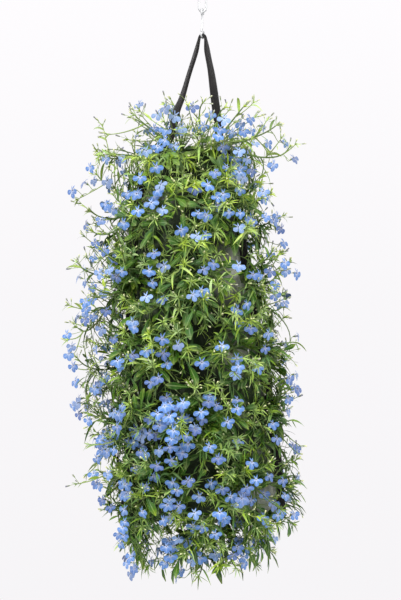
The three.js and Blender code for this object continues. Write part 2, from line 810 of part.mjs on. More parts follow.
// Tries a branch on each free wall of a node, the one that looks most towards it first.
function branchAtNode(skin, node, direction, build) {
  const free = node.walls.filter((entry) => !entry.used);
  free.sort((one, two) => two.normal.dot(direction) - one.normal.dot(direction));
  const chosen = free.find((entry) => entry.wall.some((face) => skin.branch(face, build)));
  if (chosen) {
    chosen.used = true;
  }
}

// ---------------------------------------------------------------- growing all plants

function keepRoom(sites) {
  occupy(strapStations().map(({ at }) => ({ at, radius: CLEAR.strap })));
  for (let z = POUCH[0].z; z > STRAP_BOTTOM - CLEAR.strap; z -= CLEAR.strap) {
    const { x, a } = stationAt(POUCH, z);
    const seams = [-1, 1].map((side) => vec(x + side * (a + CLEAR.strap), 0, z));
    occupy(seams.map((at) => ({ at, radius: CLEAR.strap })));
  }
  occupy(sites.map((site) => ({ at: mix([site.at, 1], [site.out, CROWN.rim]), radius: CLEAR.crown })));
}

function growPlants(sites) {
  keepRoom(sites);
  const plants = sites.map((site) => ({ site, crown: crownOf(site), stems: [] }));
  const tips = shootTips();
  const owners = shareOut(tips, sites);
  tips.forEach((tip, index) => {
    const plant = plants[owners[index]];
    const stem = growStem(plant.site, plant.crown, tip, 1000 + index);
    if (stem) {
      plant.stems.push({ ...stem, index, nodes: nodesOf(stem) });
    }
  });
  const stems = plants.flatMap((plant) => plant.stems).sort((one, two) => one.index - two.index);
  for (const stem of stems) {
    const random = seededRandom(3000 + stem.index);
    for (const node of [...stem.nodes].reverse()) {
      node.bloom = growBloom(node, random);
      node.front = squareTo(node.along, node.bloom ? node.bloom.stalk : outward(node.at));
    }
  }
  for (const stem of stems) {
    const random = seededRandom(5000 + stem.index);
    stem.nodes.forEach((node, order) => {
      const hand = (order + stem.index) % 2 ? THIRD_TURN : -THIRD_TURN;
      const sides = [hand, -hand].map((turn) => node.front.clone().applyAxisAngle(node.along, turn));
      const onFlowering = random() < LEAFLESS ? 0 : 1;
      const wanted = sides.slice(0, node.bloom ? onFlowering : 2);
      node.leaves = wanted.map((side) => growLeaf(node, side, random)).filter((leaf) => leaf);
    });
  }
  return plants;
}

function plantGeometry(plant) {
  const skin = new Skin(plant.crown.points, [...plant.crown.closed, ...plant.crown.buds]);
  const stems = plant.stems.filter((stem) => {
    return skin.branch(stem.face, (grown, face) => skinStem(grown, face, stem));
  });
  const nodes = stems.flatMap((stem) => stem.nodes);
  for (const node of nodes.filter(({ bloom }) => bloom)) {
    branchAtNode(skin, node, node.bloom.stalk, (grown, face) => skinBloom(grown, face, node.bloom));
  }
  for (const node of nodes) {
    for (const leaf of node.leaves) {
      branchAtNode(skin, node, leaf.heading, (grown, face) => skinLeaf(grown, face, leaf));
    }
  }
  return skin.geometry();
}

// ---------------------------------------------------------------- the assembled object

const group = new THREE.Group();

function add(name, geometry, material) {
  const mesh = new THREE.Mesh(geometry, material);
  mesh.name = name;
  group.add(mesh);
}

const sites = plantSites();
add('hanging_link', linkGeometry(), COLOURS.steel);
add('s_hook', hookGeometry(), COLOURS.steel);
add('strap', strapGeometry(), COLOURS.webbing);
add('pouch', pouchGeometry(sites), COLOURS.film);
add('compost', compostGeometry(sites), COLOURS.compost);
growPlants(sites).forEach((plant, index) => {
  add(`plant_${String(index + 1).padStart(2, '0')}`, plantGeometry(plant), COLOURS.foliage);
});

export default group;
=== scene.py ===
"""Trailing lobelia in a hanging flower pouch: the visual model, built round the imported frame.

The shoots, blooms and leaves grow by the same seeded rule as in the solids, so they stand in the
same places. Finer shoots, leaves, buds and blooms then fill in between them. Sizes are in
millimetres, and a Pile turns them into metres. The floor, lights and camera are in metres.
"""

import math

import bpy
import numpy as np
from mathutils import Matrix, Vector, noise


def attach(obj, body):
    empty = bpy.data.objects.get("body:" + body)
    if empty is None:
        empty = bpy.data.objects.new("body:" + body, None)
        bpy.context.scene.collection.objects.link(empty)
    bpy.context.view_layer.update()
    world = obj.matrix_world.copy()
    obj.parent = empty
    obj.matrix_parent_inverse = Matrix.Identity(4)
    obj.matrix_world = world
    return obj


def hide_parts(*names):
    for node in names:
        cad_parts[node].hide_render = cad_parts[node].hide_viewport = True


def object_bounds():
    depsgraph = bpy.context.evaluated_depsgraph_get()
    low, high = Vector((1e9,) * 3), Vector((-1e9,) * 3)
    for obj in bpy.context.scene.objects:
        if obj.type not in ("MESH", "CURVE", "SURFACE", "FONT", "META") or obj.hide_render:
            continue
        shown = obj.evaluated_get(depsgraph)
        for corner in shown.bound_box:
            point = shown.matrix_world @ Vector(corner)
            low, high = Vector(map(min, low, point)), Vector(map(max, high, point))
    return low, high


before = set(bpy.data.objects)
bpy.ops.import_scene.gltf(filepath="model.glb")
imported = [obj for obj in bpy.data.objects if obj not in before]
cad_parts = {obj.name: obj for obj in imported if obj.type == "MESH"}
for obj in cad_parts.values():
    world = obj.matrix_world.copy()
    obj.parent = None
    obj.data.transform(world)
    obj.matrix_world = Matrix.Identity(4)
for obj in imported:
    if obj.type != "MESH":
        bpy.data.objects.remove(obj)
cad_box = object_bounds()


# ---------------------------------------------------------------- sizes, in millimetres

GAP = 0.35
FILM = 1.0
LINK = dict(wire=1.25, half_width=4.25, top=1.25, bottom=-36.15)
HOOK = dict(wire=1.1, upper=3.4, lower=4.9, upper_centre=-36.8, lower_centre=-62.8, azimuth=70)
HOOK_EYE = dict(degrees=280, neck=1.4)

# The pouch: height, centre, half width, half depth.
POUCH = [
    (-204, -11.5, 33.5, 33.5), (-222, -14, 42, 40), (-262, -18, 54.5, 50), (-340, -17, 63, 56),
    (-420, -11, 71, 60), (-500, -3.5, 78.5, 61), (-570, 1, 83.5, 56), (-612, 1.5, 86.5, 40),
    (-630, 0.5, 89, 19), (-645, -1, 92, 2),
]
POUCH_UPWARDS = np.array(POUCH[::-1], dtype=float)
RIM, WELD = POUCH[0][0], POUCH[-1][0]
COMPOST_TOP = -213
COMPOST_CROWN = 3.5
STRAP = dict(bend=3.6, hook_width=4.6, hook_thick=3.4, seam_width=10, seam_thick=3, seam_gap=0.4)
STRAP_TURN = (72, 135)
STRAP_BEND = [162, 126, 90, 52, 14]
STRAP_LEFT = [(-38.5, -186), (-31, -155), (-25, -140), (-16, -110), (-7.8, -84)]
STRAP_RIGHT = [(5.9, -84), (10.8, -110), (16, -150), (18.6, -168), (20.5, -187)]
STRAP_BOTTOM = -642
SLIT = dict(half_width=6, half_height=9)
CROWN = dict(fit=0.93, inner=-14, rim=2.2, shoulder=7.5, radius=3.8, tip=11)
FRONT_BACK_ROW = [35, 145, 215, 325]
SIDE_ROW = [0, 66, 180, 294]
ROWS = [
    (-274, FRONT_BACK_ROW), (-356, SIDE_ROW), (-438, FRONT_BACK_ROW), (-520, SIDE_ROW),
    (-590, FRONT_BACK_ROW),
]
MOUTH_PLANTS = [(-13, -12), (13, -13), (12, 13), (-13, 12)]

# How far the outermost shoot tips reach: height, left, right, and front or back.
REACH = [
    (-146, -22, 20, 15), (-152, -78, 76, 50), (-182, -130, 100, 88), (-250, -142, 94, 104),
    (-370, -158, 110, 116), (-460, -154, 106, 118), (-575, -146, 102, 112), (-625, -128, 112, 104),
    (-672, -102, 96, 78), (-708, -66, 64, 44), (-714, -20, 24, 12),
]
SHOOTS = 112
SHOOTS_PER_PLANT = 7
FRONT_BIAS = 0.33
GOLDEN_TURN = 0.6180339887
LEAST_REACH = 0.84
HANGING = (600, 690)
ATTEMPTS = dict(stem=16, bloom=14, leaf=8, twig=7, twig_bloom=6, sister_bloom=8)
STEM = dict(root=1.45, tip=0.85, leave=0.32, arrive=0.34)
LIFT = dict(high=(0.35, 0.9), low=(-0.8, -0.2))
NODE_SHARES = [(80, [0.38, 0.58, 0.76, 0.91]), (48, [0.46, 0.7, 0.89]), (0, [0.56, 0.86])]
LEAFLESS = 0.32
PEDICEL = (13, 23)
BLOOM = dict(tube=5, reach=8.8, stalk=0.72)
LEAF = dict(narrowest=3.6, widest=5.6, shortest=15, longest=27)
CLEAR = dict(margin=0.75, spacing=3, stem=13, stalk=7, leaf=9, strap=6, crown=8.5, widest=12)
BLOOM_BALLS = dict(middle=3.2, petal=3.4, reach=0.66, around=6)
SHARING = dict(climb=1.5, crowding=6, slit_reach=40, mouth_reach=25, slit_rise=5, mouth_rise=60)
UP = np.array((0.0, 0.0, 1.0))
FULL_TURN = 2 * math.pi
THIRD_TURN = FULL_TURN / 3


# ---------------------------------------------------------------- small helpers

def vec(x, y, z):
    return np.array((x, y, z), dtype=float)


def dot(a, b):
    return float(a @ b)


def length_of(vector):
    return math.sqrt(dot(vector, vector))


def norms(vectors):
    return np.linalg.norm(vectors, axis=-1)


def unit(vector):
    return vector / length_of(vector)


def cross(a, b):
    return vec(a[1] * b[2] - a[2] * b[1], a[2] * b[0] - a[0] * b[2], a[0] * b[1] - a[1] * b[0])


def lerp(start, end, share):
    return start + (end - start) * share


def smoothstep(x, low, high):
    share = min(1.0, max(0.0, (x - low) / (high - low)))
    return share * share * (3 - 2 * share)


def turned(vector, axis, angle):
    """The vector turned about a unit axis."""
    c, s = math.cos(angle), math.sin(angle)
    return vector * c + cross(axis, vector) * s + axis * (dot(axis, vector) * (1 - c))


def station(table, z):
    """Reads a table sorted downwards by its first column at any height."""
    k = 0
    while k < len(table) - 2 and z < table[k + 1][0]:
        k += 1
    share = min(1.0, max(0.0, (table[k][0] - z) / (table[k][0] - table[k + 1][0])))
    return [lerp(above, below, share) for above, below in zip(table[k], table[k + 1])]


def sections(z):
    """The pouch's centre, half width and half depth at an array of heights."""
    return [np.interp(z, POUCH_UPWARDS[:, 0], POUCH_UPWARDS[:, k]) for k in (1, 2, 3)]


def seeded(seed):
    """A generator of numbers from 0 to 1. draw(low, high) gives one between two limits."""
    state = [(seed * 69621 + 12345) % 2147483647]

    def draw(low=0.0, high=1.0):
        state[0] = state[0] * 48271 % 2147483647
        return low + (high - low) * (state[0] / 2147483647)

    for _ in range(3):
        draw()
    return draw


# ---------------------------------------------------------------- where the plants stand

def pouch_point(z, azimuth, inset=0.0):
    _, x, a, b = station(POUCH, z)
    return vec(x + (a - inset) * math.sin(azimuth), -(b - inset) * math.cos(azimuth), z)


def strap_stations():
    """The strap's centreline as points, and how far each is turned from the hook to the seam."""
    def edge(side, z):
        _, x, a, _ = station(POUCH, z)
        return x + side * a

    def seam(side, z):
        level = min(RIM - 3, z)
        slope = (edge(side, level + 2) - edge(side, level - 2)) / 4
        away = side * (STRAP["seam_gap"] + STRAP["seam_width"] / 2) / math.hypot(1, slope)
        return edge(side, z) + away, z - slope * away

    downwards = [row[0] for row in POUCH if row[0] > STRAP_BOTTOM] + [STRAP_BOTTOM]
    left = [seam(-1, z) for z in reversed(downwards)] + STRAP_LEFT
    right = STRAP_RIGHT + [seam(1, z) for z in downwards]
    centre = HOOK["lower_centre"] - HOOK["lower"]
    bend = []
    for degrees in STRAP_BEND:
        angle = math.radians(degrees)
        bend.append((STRAP["bend"] * math.cos(angle), centre + STRAP["bend"] * math.sin(angle)))
    path = [vec(x, 0, z) for x, z in left + bend + right]
    return path, [smoothstep(-point[2], *STRAP_TURN) for point in path]


def plant_sites():
    sites = []
    for dx, dy in MOUTH_PLANTS:
        at = vec(station(POUCH, COMPOST_TOP)[1] + dx, dy, COMPOST_TOP + 1)
        sites.append(dict(at=at, out=UP, wide=vec(1, 0, 0), high=vec(0, 1, 0), slit=False))
    for z, azimuths in ROWS:
        _, _, a, b = station(POUCH, z)
        for degrees in azimuths:
            azimuth = math.radians(degrees)
            out = unit(vec(math.sin(azimuth) / a, -math.cos(azimuth) / b, 0))
            at = pouch_point(z, azimuth)
            sites.append(dict(at=at, out=out, wide=cross(UP, out), high=UP, slit=True))
    return sites


def out_from(site, depth):
    """The point this far out from the middle of a plant's slit, or from its place in the mouth."""
    return site["at"] + site["out"] * depth


def lozenge(site, depth, fit):
    centre = out_from(site, depth)
    wide = site["wide"] * (SLIT["half_width"] * fit)
    high = site["high"] * (SLIT["half_height"] * fit)
    return [centre + wide, centre + high, centre - wide, centre - high]


def crown_buds(site):
    """The crown's outer faces, from which shoots grow, as centre and normal."""
    points = lozenge(site, CROWN["inner"], CROWN["fit"]) + lozenge(site, CROWN["rim"], CROWN["fit"])
    shoulder = out_from(site, CROWN["shoulder"])
    reach = CROWN["radius"] / math.sqrt(2)
    for wide, high in [(1, 1), (-1, 1), (-1, -1), (1, -1)]:
        points.append(shoulder + site["wide"] * (wide * reach) + site["high"] * (high * reach))
    points.append(out_from(site, CROWN["tip"]))
    buds = []
    for side in range(4):
        after = (side + 1) % 4
        below, above = 4 + side, 8 + side
        for corners in [(below, 4 + after, above), (4 + after, 8 + after, above), (above, 8 + after, 12)]:
            a, b, c = [points[corner] for corner in corners]
            buds.append(dict(centre=(a + b + c) / 3, normal=unit(cross(b - a, c - a)), used=False))
    return buds


# ---------------------------------------------------------------- growth: keeping clear

class Room:
    """The balls of everything grown so far."""

    def __init__(self):
        self.at = np.empty((0, 3))
        self.radius = np.empty(0)

    def occupy(self, at, radius):
        self.at = np.concatenate([self.at, at])
        self.radius = np.concatenate([self.radius, radius])

    def free(self, at, radius):
        if not len(at):
            return True
        near = (self.at > at.min(0) - CLEAR["widest"]) & (self.at < at.max(0) + CLEAR["widest"])
        near = np.all(near, axis=1)
        gaps = norms(at[:, None] - self.at[near])
        return not bool((gaps < radius[:, None] + self.radius[near]).any())


def pouch_share(at, margin):
    """How far out of the pouch's section each point lies: 1 is on the film plus the margin."""
    x, a, b = sections(at[:, 2])
    return np.hypot((at[:, 0] - x) / (a + margin), at[:, 1] / (b + margin))


def clear_of_pouch(at, radius):
    if not len(at):
        return True
    z = at[:, 2]
    beyond = (z > RIM + radius) | (z < WELD - radius)
    in_mouth = (z > COMPOST_TOP + COMPOST_CROWN + radius) & (pouch_share(at, -FILM - radius - 1) < 1)
    return bool(np.all(beyond | in_mouth | (pouch_share(at, radius + 1) > 1)))


def chain(curve, length, start, half_width):
    """Balls along a curve, from a distance past its root."""
    count = int((length - start) / CLEAR["spacing"]) + 1 if length >= start else 0
    at = curve((start + CLEAR["spacing"] * np.arange(count)) / length)
    return at, np.full(count, half_width + CLEAR["margin"])


def kept(room, at, radius):
    """Keeps the balls where they clear the pouch and all growth, and says so."""
    fits = clear_of_pouch(at, radius) and room.free(at, radius)
    if fits:
        room.occupy(at, radius)
    return fits


# ---------------------------------------------------------------- growth: shoots, blooms, leaves

def bezier(*points):
    """A quadratic or cubic curve as a function of an array of shares."""
    last = len(points) - 1
    return lambda t: sum(
        (math.comb(last, k) * t ** k * (1 - t) ** (last - k))[..., None] * point
        for k, point in enumerate(points)
    )


def point_on(curve, share):
    return curve(np.array([share]))[0]


def tangent_on(curve, share):
    low, high = max(0.0, share - 1e-4), min(1.0, share + 1e-4)
    return unit(point_on(curve, high) - point_on(curve, low))


def nodes_at(curve, shares):
    """The places of a shoot from which leaves and flower stalks grow."""
    return [dict(at=point_on(curve, share), along=tangent_on(curve, share)) for share in shares]


def shoot_tips():
    """Tips spread evenly over the outline's skin, more of them at the front."""
    areas = [0.0]
    for above, below in zip(REACH, REACH[1:]):
        around = above[2] - above[1] + below[2] - below[1] + 2 * (above[3] + below[3])
        widening = (below[2] - below[1] - above[2] + above[1]) / 2
        areas.append(areas[-1] + around * math.hypot(above[0] - below[0], widening))
    tips = []
    for shoot in range(SHOOTS):
        draw = seeded(100 + shoot)
        area = areas[-1] * (shoot + 0.5) / SHOOTS
        k = next(index for index, value in enumerate(areas) if value >= area)
        share = (area - areas[k - 1]) / (areas[k] - areas[k - 1])
        z, left, right, depth = [lerp(*pair, share) for pair in zip(REACH[k - 1], REACH[k])]
        even = FULL_TURN * (shoot * GOLDEN_TURN % 1)
        azimuth = even - FRONT_BIAS * math.sin(even)
        reach = draw(LEAST_REACH, 1)
        x = (left + right) / 2 + (right - left) / 2 * reach * math.sin(azimuth)
        tips.append(vec(x, -depth * reach * math.cos(azimuth), z))
    return tips


def share_out(tips, sites):
    """Each tip's plant: the nearest with room, and rather one above it than below."""
    counts = [0] * len(sites)
    owners = []
    for tip in tips:
        best, least = -1, math.inf
        for index, site in enumerate(sites):
            kind = "slit" if site["slit"] else "mouth"
            start = out_from(site, SHARING[kind + "_reach"])
            climb = max(0.0, tip[2] - start[2] - SHARING[kind + "_rise"])
            cost = length_of(tip - start) + SHARING["climb"] * climb + SHARING["crowding"] * counts[index]
            if counts[index] < SHOOTS_PER_PLANT and cost < least:
                best, least = index, cost
        counts[best] += 1
        owners.append(best)
    return owners


def outward(point):
    return unit(vec(point[0] - station(POUCH, point[2])[1], point[1], 0))


def grow_stem(room, buds, tip, seed):
    draw = seeded(seed)
    for attempt in range(ATTEMPTS["stem"]):
        wander = 3 + attempt * 1.5
        end = tip + vec(draw(-wander, wander), draw(-wander, wander), draw(-wander, wander))
        ranked = sorted(
            (bud for bud in buds if not bud["used"]),
            key=lambda bud: -dot(bud["normal"], unit(end - bud["centre"])),
        )
        bud = ranked[min(attempt % 3, len(ranked) - 1)]
        length = length_of(end - bud["centre"])
        low = smoothstep(-end[2], *HANGING)
        lift = lerp(draw(*LIFT["high"]), draw(*LIFT["low"]), low)
        stray = vec(draw() - 0.5, draw() - 0.5, 0)
        heading = unit(outward(end) * 0.7 + UP * lift + stray * 0.7)
        leave = bud["centre"] + bud["normal"] * (length * STEM["leave"])
        curve = bezier(bud["centre"], leave, end - heading * (length * STEM["arrive"]), end)
        at, radius = chain(curve, length, CLEAR["stem"], STEM["root"])
        if kept(room, at, radius):
            bud["used"] = True
            return dict(curve=curve, length=length, heading=heading)
    return None


def square_to(along, direction):
    return unit(direction - along * dot(direction, along))


def bloom_balls(centre, right, up):
    at, radius = [centre], [BLOOM_BALLS["middle"]]
    reach = BLOOM["reach"] * BLOOM_BALLS["reach"]
    for ball in range(BLOOM_BALLS["around"]):
        angle = ball * FULL_TURN / BLOOM_BALLS["around"]
        at.append(centre + right * (reach * math.cos(angle)) + up * (reach * math.sin(angle)))
        radius.append(BLOOM_BALLS["petal"])
    return np.array(at), np.array(radius)


def grow_bloom(room, node, draw, attempts=ATTEMPTS["bloom"]):
    for attempt in range(attempts):
        out = outward(node["at"])
        around = cross(UP, out)
        wander = 0.6 + attempt * 0.04
        wish = unit(out * draw(0.35, 1) + around * draw(-wander, wander) + UP * draw(-0.35, 0.75))
        stalk = unit(square_to(node["along"], wish) * 0.8 + wish * 0.4)
        length = draw(*PEDICEL)
        facing = unit(out + stalk * 0.25 + around * draw(-0.45, 0.45) + UP * draw(-0.2, 0.4))
        centre = node["at"] + stalk * length + facing * (BLOOM["tube"] * 0.5)
        right = unit(cross(UP, facing))
        up = cross(facing, right)
        base = centre - facing * BLOOM["tube"]
        root = node["at"]
        along_stalk = chain(
            lambda t: root + (base - root) * t[:, None], length, CLEAR["stalk"], BLOOM["stalk"]
        )
        at, radius = map(np.concatenate, zip(along_stalk, bloom_balls(centre, right, up)))
        if kept(room, at, radius):
            return dict(
                centre=centre, facing=facing, right=right, up=up, stalk=stalk, root=root, base=base,
            )
    return None


def grow_leaf(room, node, side, draw):
    for attempt in range(ATTEMPTS["leaf"]):
        length = draw(LEAF["shortest"], LEAF["longest"]) * (1 - attempt * 0.05)
        heading = unit(side + node["along"] * draw(0.1, 0.7) + UP * draw(-0.2, 0.25))
        tip = node["at"] + heading * length - UP * (length * draw(0, 0.25))
        middle = node["at"] + heading * (length * 0.5) + UP * (length * 0.06)
        width = draw(LEAF["narrowest"], LEAF["widest"])
        at, radius = chain(bezier(node["at"], middle, tip), length, CLEAR["leaf"], width / 2)
        if kept(room, at, radius):
            return dict(root=node["at"], middle=middle, tip=tip, width=width, heading=heading)
    return None


def keep_room(room, sites):
    path, _ = strap_stations()
    room.occupy(np.array(path), np.full(len(path), float(CLEAR["strap"])))
    z = RIM
    seams = []
    while z > STRAP_BOTTOM - CLEAR["strap"]:
        _, x, a, _ = station(POUCH, z)
        seams += [vec(x + side * (a + CLEAR["strap"]), 0, z) for side in (-1, 1)]
        z -= CLEAR["strap"]
    room.occupy(np.array(seams), np.full(len(seams), float(CLEAR["strap"])))
    crowns = np.array([out_from(site, CROWN["rim"]) for site in sites])
    room.occupy(crowns, np.full(len(crowns), CLEAR["crown"]))


def grow_plants(room, sites):
    """The shoots, blooms and leaves of the solids, drawn in the same order."""
    keep_room(room, sites)
    plants = [dict(site=site, buds=crown_buds(site), stems=[], shoots=[]) for site in sites]
    tips = shoot_tips()
    stems = []
    for index, (tip, owner) in enumerate(zip(tips, share_out(tips, sites))):
        stem = grow_stem(room, plants[owner]["buds"], tip, 1000 + index)
        if stem:
            shares = next(shares for over, shares in NODE_SHARES if stem["length"] > over)
            stem.update(index=index, nodes=nodes_at(stem["curve"], shares))
            plants[owner]["stems"].append(stem)
            stems.append(stem)
    for stem in stems:
        draw = seeded(3000 + stem["index"])
        for node in reversed(stem["nodes"]):
            node["bloom"] = grow_bloom(room, node, draw)
            front = node["bloom"]["stalk"] if node["bloom"] else outward(node["at"])
            node["front"] = square_to(node["along"], front)
    for stem in stems:
        draw = seeded(5000 + stem["index"])
        for order, node in enumerate(stem["nodes"]):
            hand = THIRD_TURN if (order + stem["index"]) % 2 else -THIRD_TURN
            sides = [turned(node["front"], node["along"], turn) for turn in (hand, -hand)]
            on_flowering = 0 if draw() < LEAFLESS else 1
            wanted = sides[:on_flowering if node["bloom"] else 2]
            leaves = [grow_leaf(room, node, side, draw) for side in wanted]
            node["leaves"] = [leaf for leaf in leaves if leaf]
    return plants


# ---------------------------------------------------------------- gathering meshes

METRE = 0.001
VALUES = ("tone", "age", "along", "across")


def scene_object(name, data):
    made = bpy.data.objects.new(name, data)
    bpy.context.scene.collection.objects.link(made)
    return made


class Pile:
    """One mesh in the making: points in millimetres, faces, and values the materials read."""

    def __init__(self):
        self.points, self.faces, self.slots = [], [], []
        self.values = {name: [] for name in VALUES}
        self.count = 0

    def add(self, points, faces, slot=0, **values):
        points = np.asarray(points, dtype=float).reshape(-1, 3)
        self.points.append(points)
        for block in faces if isinstance(faces, list) else [faces]:
            block = np.asarray(block, dtype=int) + self.count
            self.faces += block.tolist()
            self.slots.append(np.full(len(block), slot))
        for name in VALUES:
            self.values[name].append(np.broadcast_to(values.get(name, 0.0), len(points)))
        self.count += len(points)

    def build(self, name, materials):
        mesh = bpy.data.meshes.new(name)
        mesh.from_pydata((np.concatenate(self.points) * METRE).tolist(), [], self.faces)
        for key in VALUES:
            made = mesh.attributes.new(key, "FLOAT", "POINT")
            made.data.foreach_set("value", np.concatenate(self.values[key]).astype(np.float32))
        for material in materials:
            mesh.materials.append(material)
        mesh.polygons.foreach_set("material_index", np.concatenate(self.slots).astype(np.int32))
        mesh.polygons.foreach_set("use_smooth", np.ones(len(mesh.polygons), dtype=bool))
        mesh.update()
        piece = scene_object(name, mesh)
        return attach(piece, "root")


def grid_faces(rows, columns, closed=False):
    """Quads of a grid of points, row after row. A closed grid joins its last column to its first."""
    spans = columns if closed else columns - 1
    row, column = np.meshgrid(np.arange(rows - 1), np.arange(spans), indexing="ij")
    here, after = row * columns + column, row * columns + (column + 1) % columns
    return np.stack([here, after, after + columns, here + columns], axis=-1).reshape(-1, 4)


def repeated(faces, points_each, copies):
    """The faces of one copy, repeated for each copy."""
    shift = np.arange(copies)[:, None, None] * points_each
    return (faces[None] + shift).reshape(-1, faces.shape[1])


def spread(value, points_each, copies):
    """One value for all copies, or one for each copy, as one for each point."""
    return np.repeat(np.broadcast_to(value, copies), points_each)


def field(rows, key):
    """One entry of every row, as an array."""
    return np.array([row[key] for row in rows], dtype=float)


def draws(draw, count, low=0.0, high=1.0):
    return np.array([draw(low, high) for _ in range(count)])


def even_turns(count, shift=0.0):
    """Angles in even steps all round."""
    return FULL_TURN * (np.arange(count) + shift) / count


def units(vectors):
    return vectors / np.maximum(np.linalg.norm(vectors, axis=-1, keepdims=True), 1e-9)


def frames(forward, hint):
    """Right, up and forward of each direction, as rows of matrices."""
    forward = units(forward)
    right = units(np.cross(hint, forward))
    return np.stack([right, np.cross(forward, right), forward], axis=-2)


# ---------------------------------------------------------------- stalks, blades and stamps

def add_tubes(pile, points, radii, sides, slot=0, age=0.5, tone=0.5):
    """Round stalks through paths of equal length: points is (stalk, step, 3)."""
    points = np.asarray(points, dtype=float)
    copies, steps = points.shape[:2]
    ahead = units(np.gradient(points, axis=1))
    chord = units(points[:, -1] - points[:, 0])
    bowed = np.cross(ahead[:, 0], chord)
    flat = np.linalg.norm(bowed, axis=1, keepdims=True) < 0.05
    spare = np.cross(chord, np.where(np.abs(chord[:, 2:]) > 0.9, vec(1, 0, 0), UP))
    hint = units(np.where(flat, spare, bowed))[:, None]
    side = units(np.cross(ahead, hint))
    rise = np.cross(ahead, side)
    angle, each = even_turns(sides), steps * sides
    ring = side[:, :, None] * np.cos(angle)[:, None] + rise[:, :, None] * np.sin(angle)[:, None]
    skin = points[:, :, None] + ring * np.asarray(radii)[..., None, None]
    pile.add(
        skin, repeated(grid_faces(steps, sides, True), each, copies), slot, tone=spread(tone, each, copies),
        age=spread(age, each, copies), along=np.tile(np.repeat(np.linspace(0, 1, steps), sides), copies),
    )


def blade_width(share, broad):
    """A leaf's width along its length: lance-shaped, or broadest beyond the middle."""
    lance = (share + 0.06) ** 0.55 * (1.02 - share) ** 0.8 * 1.75
    spoon = np.clip(0.16 + 1.25 * share ** 1.7, 0, 1) * np.sqrt(np.clip(1.02 - share ** 5, 0, 1))
    return np.where(broad, spoon, lance)


def add_blades(pile, leaves, rows, teeth=0.0):
    """Leaves as thin folded blades. Each leaf is a dict of its root, heading, face and sizes."""
    if not leaves:
        return
    table = {key: field(leaves, key) for key in leaves[0]}
    share = np.linspace(0, 1, rows + 1)
    count, broad = len(leaves), table["broad"][:, None] > 0.5
    heading = units(table["heading"])
    side = units(np.cross(heading, table["face"]))
    face = np.cross(side, heading)
    length = table["length"][:, None]
    centre = table["root"][:, None] + heading[:, None] * (length * share)[..., None]
    centre = centre + face[:, None] * (length * table["arch"][:, None] * (share - share ** 2.4))[..., None]
    centre = centre - UP * (length * table["droop"][:, None] * share ** 2)[..., None]
    centre = centre + side[:, None] * (length * table["bend"][:, None] * share ** 2)[..., None]
    ahead = units(np.gradient(centre, axis=1))
    twist = table["twist"][:, None] * share
    across = units(side[:, None] - ahead * np.sum(side[:, None] * ahead, axis=-1, keepdims=True))
    lift = np.cross(across, ahead)
    across, lift = (
        across * np.cos(twist)[..., None] + lift * np.sin(twist)[..., None],
        lift * np.cos(twist)[..., None] - across * np.sin(twist)[..., None],
    )
    half = table["width"][:, None] / 2 * blade_width(share, broad)
    half = half * np.where(broad, 1 + teeth * np.where(np.arange(rows + 1) % 2, 1, -0.5), 1)
    columns = np.array([-1.0, 0.0, 1.0])
    out = half[..., None] * columns
    raised = np.abs(out) * table["fold"][:, None, None]
    skin = centre[:, :, None] + across[:, :, None] * out[..., None] + lift[:, :, None] * raised[..., None]
    each = (rows + 1) * 3
    pile.add(
        skin, repeated(grid_faces(rows + 1, 3), each, count), tone=np.repeat(table["tone"], each),
        age=np.repeat(table["age"], each), along=np.tile(np.repeat(share, 3), count),
        across=np.tile(columns, count * (rows + 1)),
    )


def add_stamps(pile, stamp, axes, origins, scale, slot=0, tone=0.5, age=0.5):
    """Copies of a small shape, each turned to its own axes, merged into the pile."""
    points, faces, along, across = stamp
    copies, each = len(origins), len(points)
    placed = np.einsum("pk,nkc->npc", points, axes) * np.reshape(scale, (-1, 1, 1)) + origins[:, None]
    pile.add(
        placed, [repeated(block, each, copies) for block in faces], slot,
        tone=spread(tone, each, copies), age=spread(age, each, copies),
        along=np.tile(along, copies), across=np.tile(across, copies),
    )


def joined(*stamps):
    """One stamp of several."""
    points, faces, along, across = zip(*stamps)
    starts = np.cumsum([0] + [len(part) for part in points])
    faces = [block + start for blocks, start in zip(faces, starts) for block in blocks]
    return np.concatenate(points), faces, np.concatenate(along), np.concatenate(across)


def flat_strip(angle, u, v, height, share, across):
    """A grid of points, u across and v out along a line at an angle, as a stamp."""
    c, s = math.cos(angle), math.sin(angle)
    points = np.stack([c * v - s * u, s * v + c * u, height], axis=-1).reshape(-1, 3)
    rows, columns = u.shape
    return points, [grid_faces(rows, columns)], np.repeat(share, columns), np.tile(across, rows)


def petal(angle, start, end, width, narrow, curl, cup, rows=7, columns=5):
    """One lobe of a bloom in its face's plane, forward along z. Millimetres."""
    share = np.linspace(0, 1, rows)
    if narrow:
        half = width * np.sin(math.pi * (0.16 + 0.8 * share)) ** 0.8
    else:
        swell = np.clip(share / 0.66, 0, 1)
        half = width * (0.26 + 0.74 * swell * swell * (3 - 2 * swell))
        half = half * np.sqrt(np.clip(1 - np.clip((share - 0.66) / 0.37, 0, 1) ** 2, 0.02, 1))
    out = start + (end - start) * share
    across = np.linspace(-1, 1, columns)
    hollow = half[:, None] * across ** 2
    height = -0.9 + curl[0] * share[:, None] + curl[1] * share[:, None] ** 2 - cup * hollow
    return flat_strip(angle, half[:, None] * across, out[:, None] - 0.10 * hollow, height, share, across)


def turned_profile(profile, sides, bow=0.0):
    """A round shape about z through (radius, height, along) steps, bowed sideways if asked."""
    radius, height, along = np.array(profile, dtype=float).T
    angle = even_turns(sides)
    x = radius[:, None] * np.cos(angle) + bow * (height[:, None] / height.max()) ** 2
    y = radius[:, None] * np.sin(angle)
    points = np.stack([x, y, height[:, None] + 0 * x], axis=-1).reshape(-1, 3)
    return points, [grid_faces(len(profile), sides, True)], np.repeat(along, sides), np.zeros(len(points))


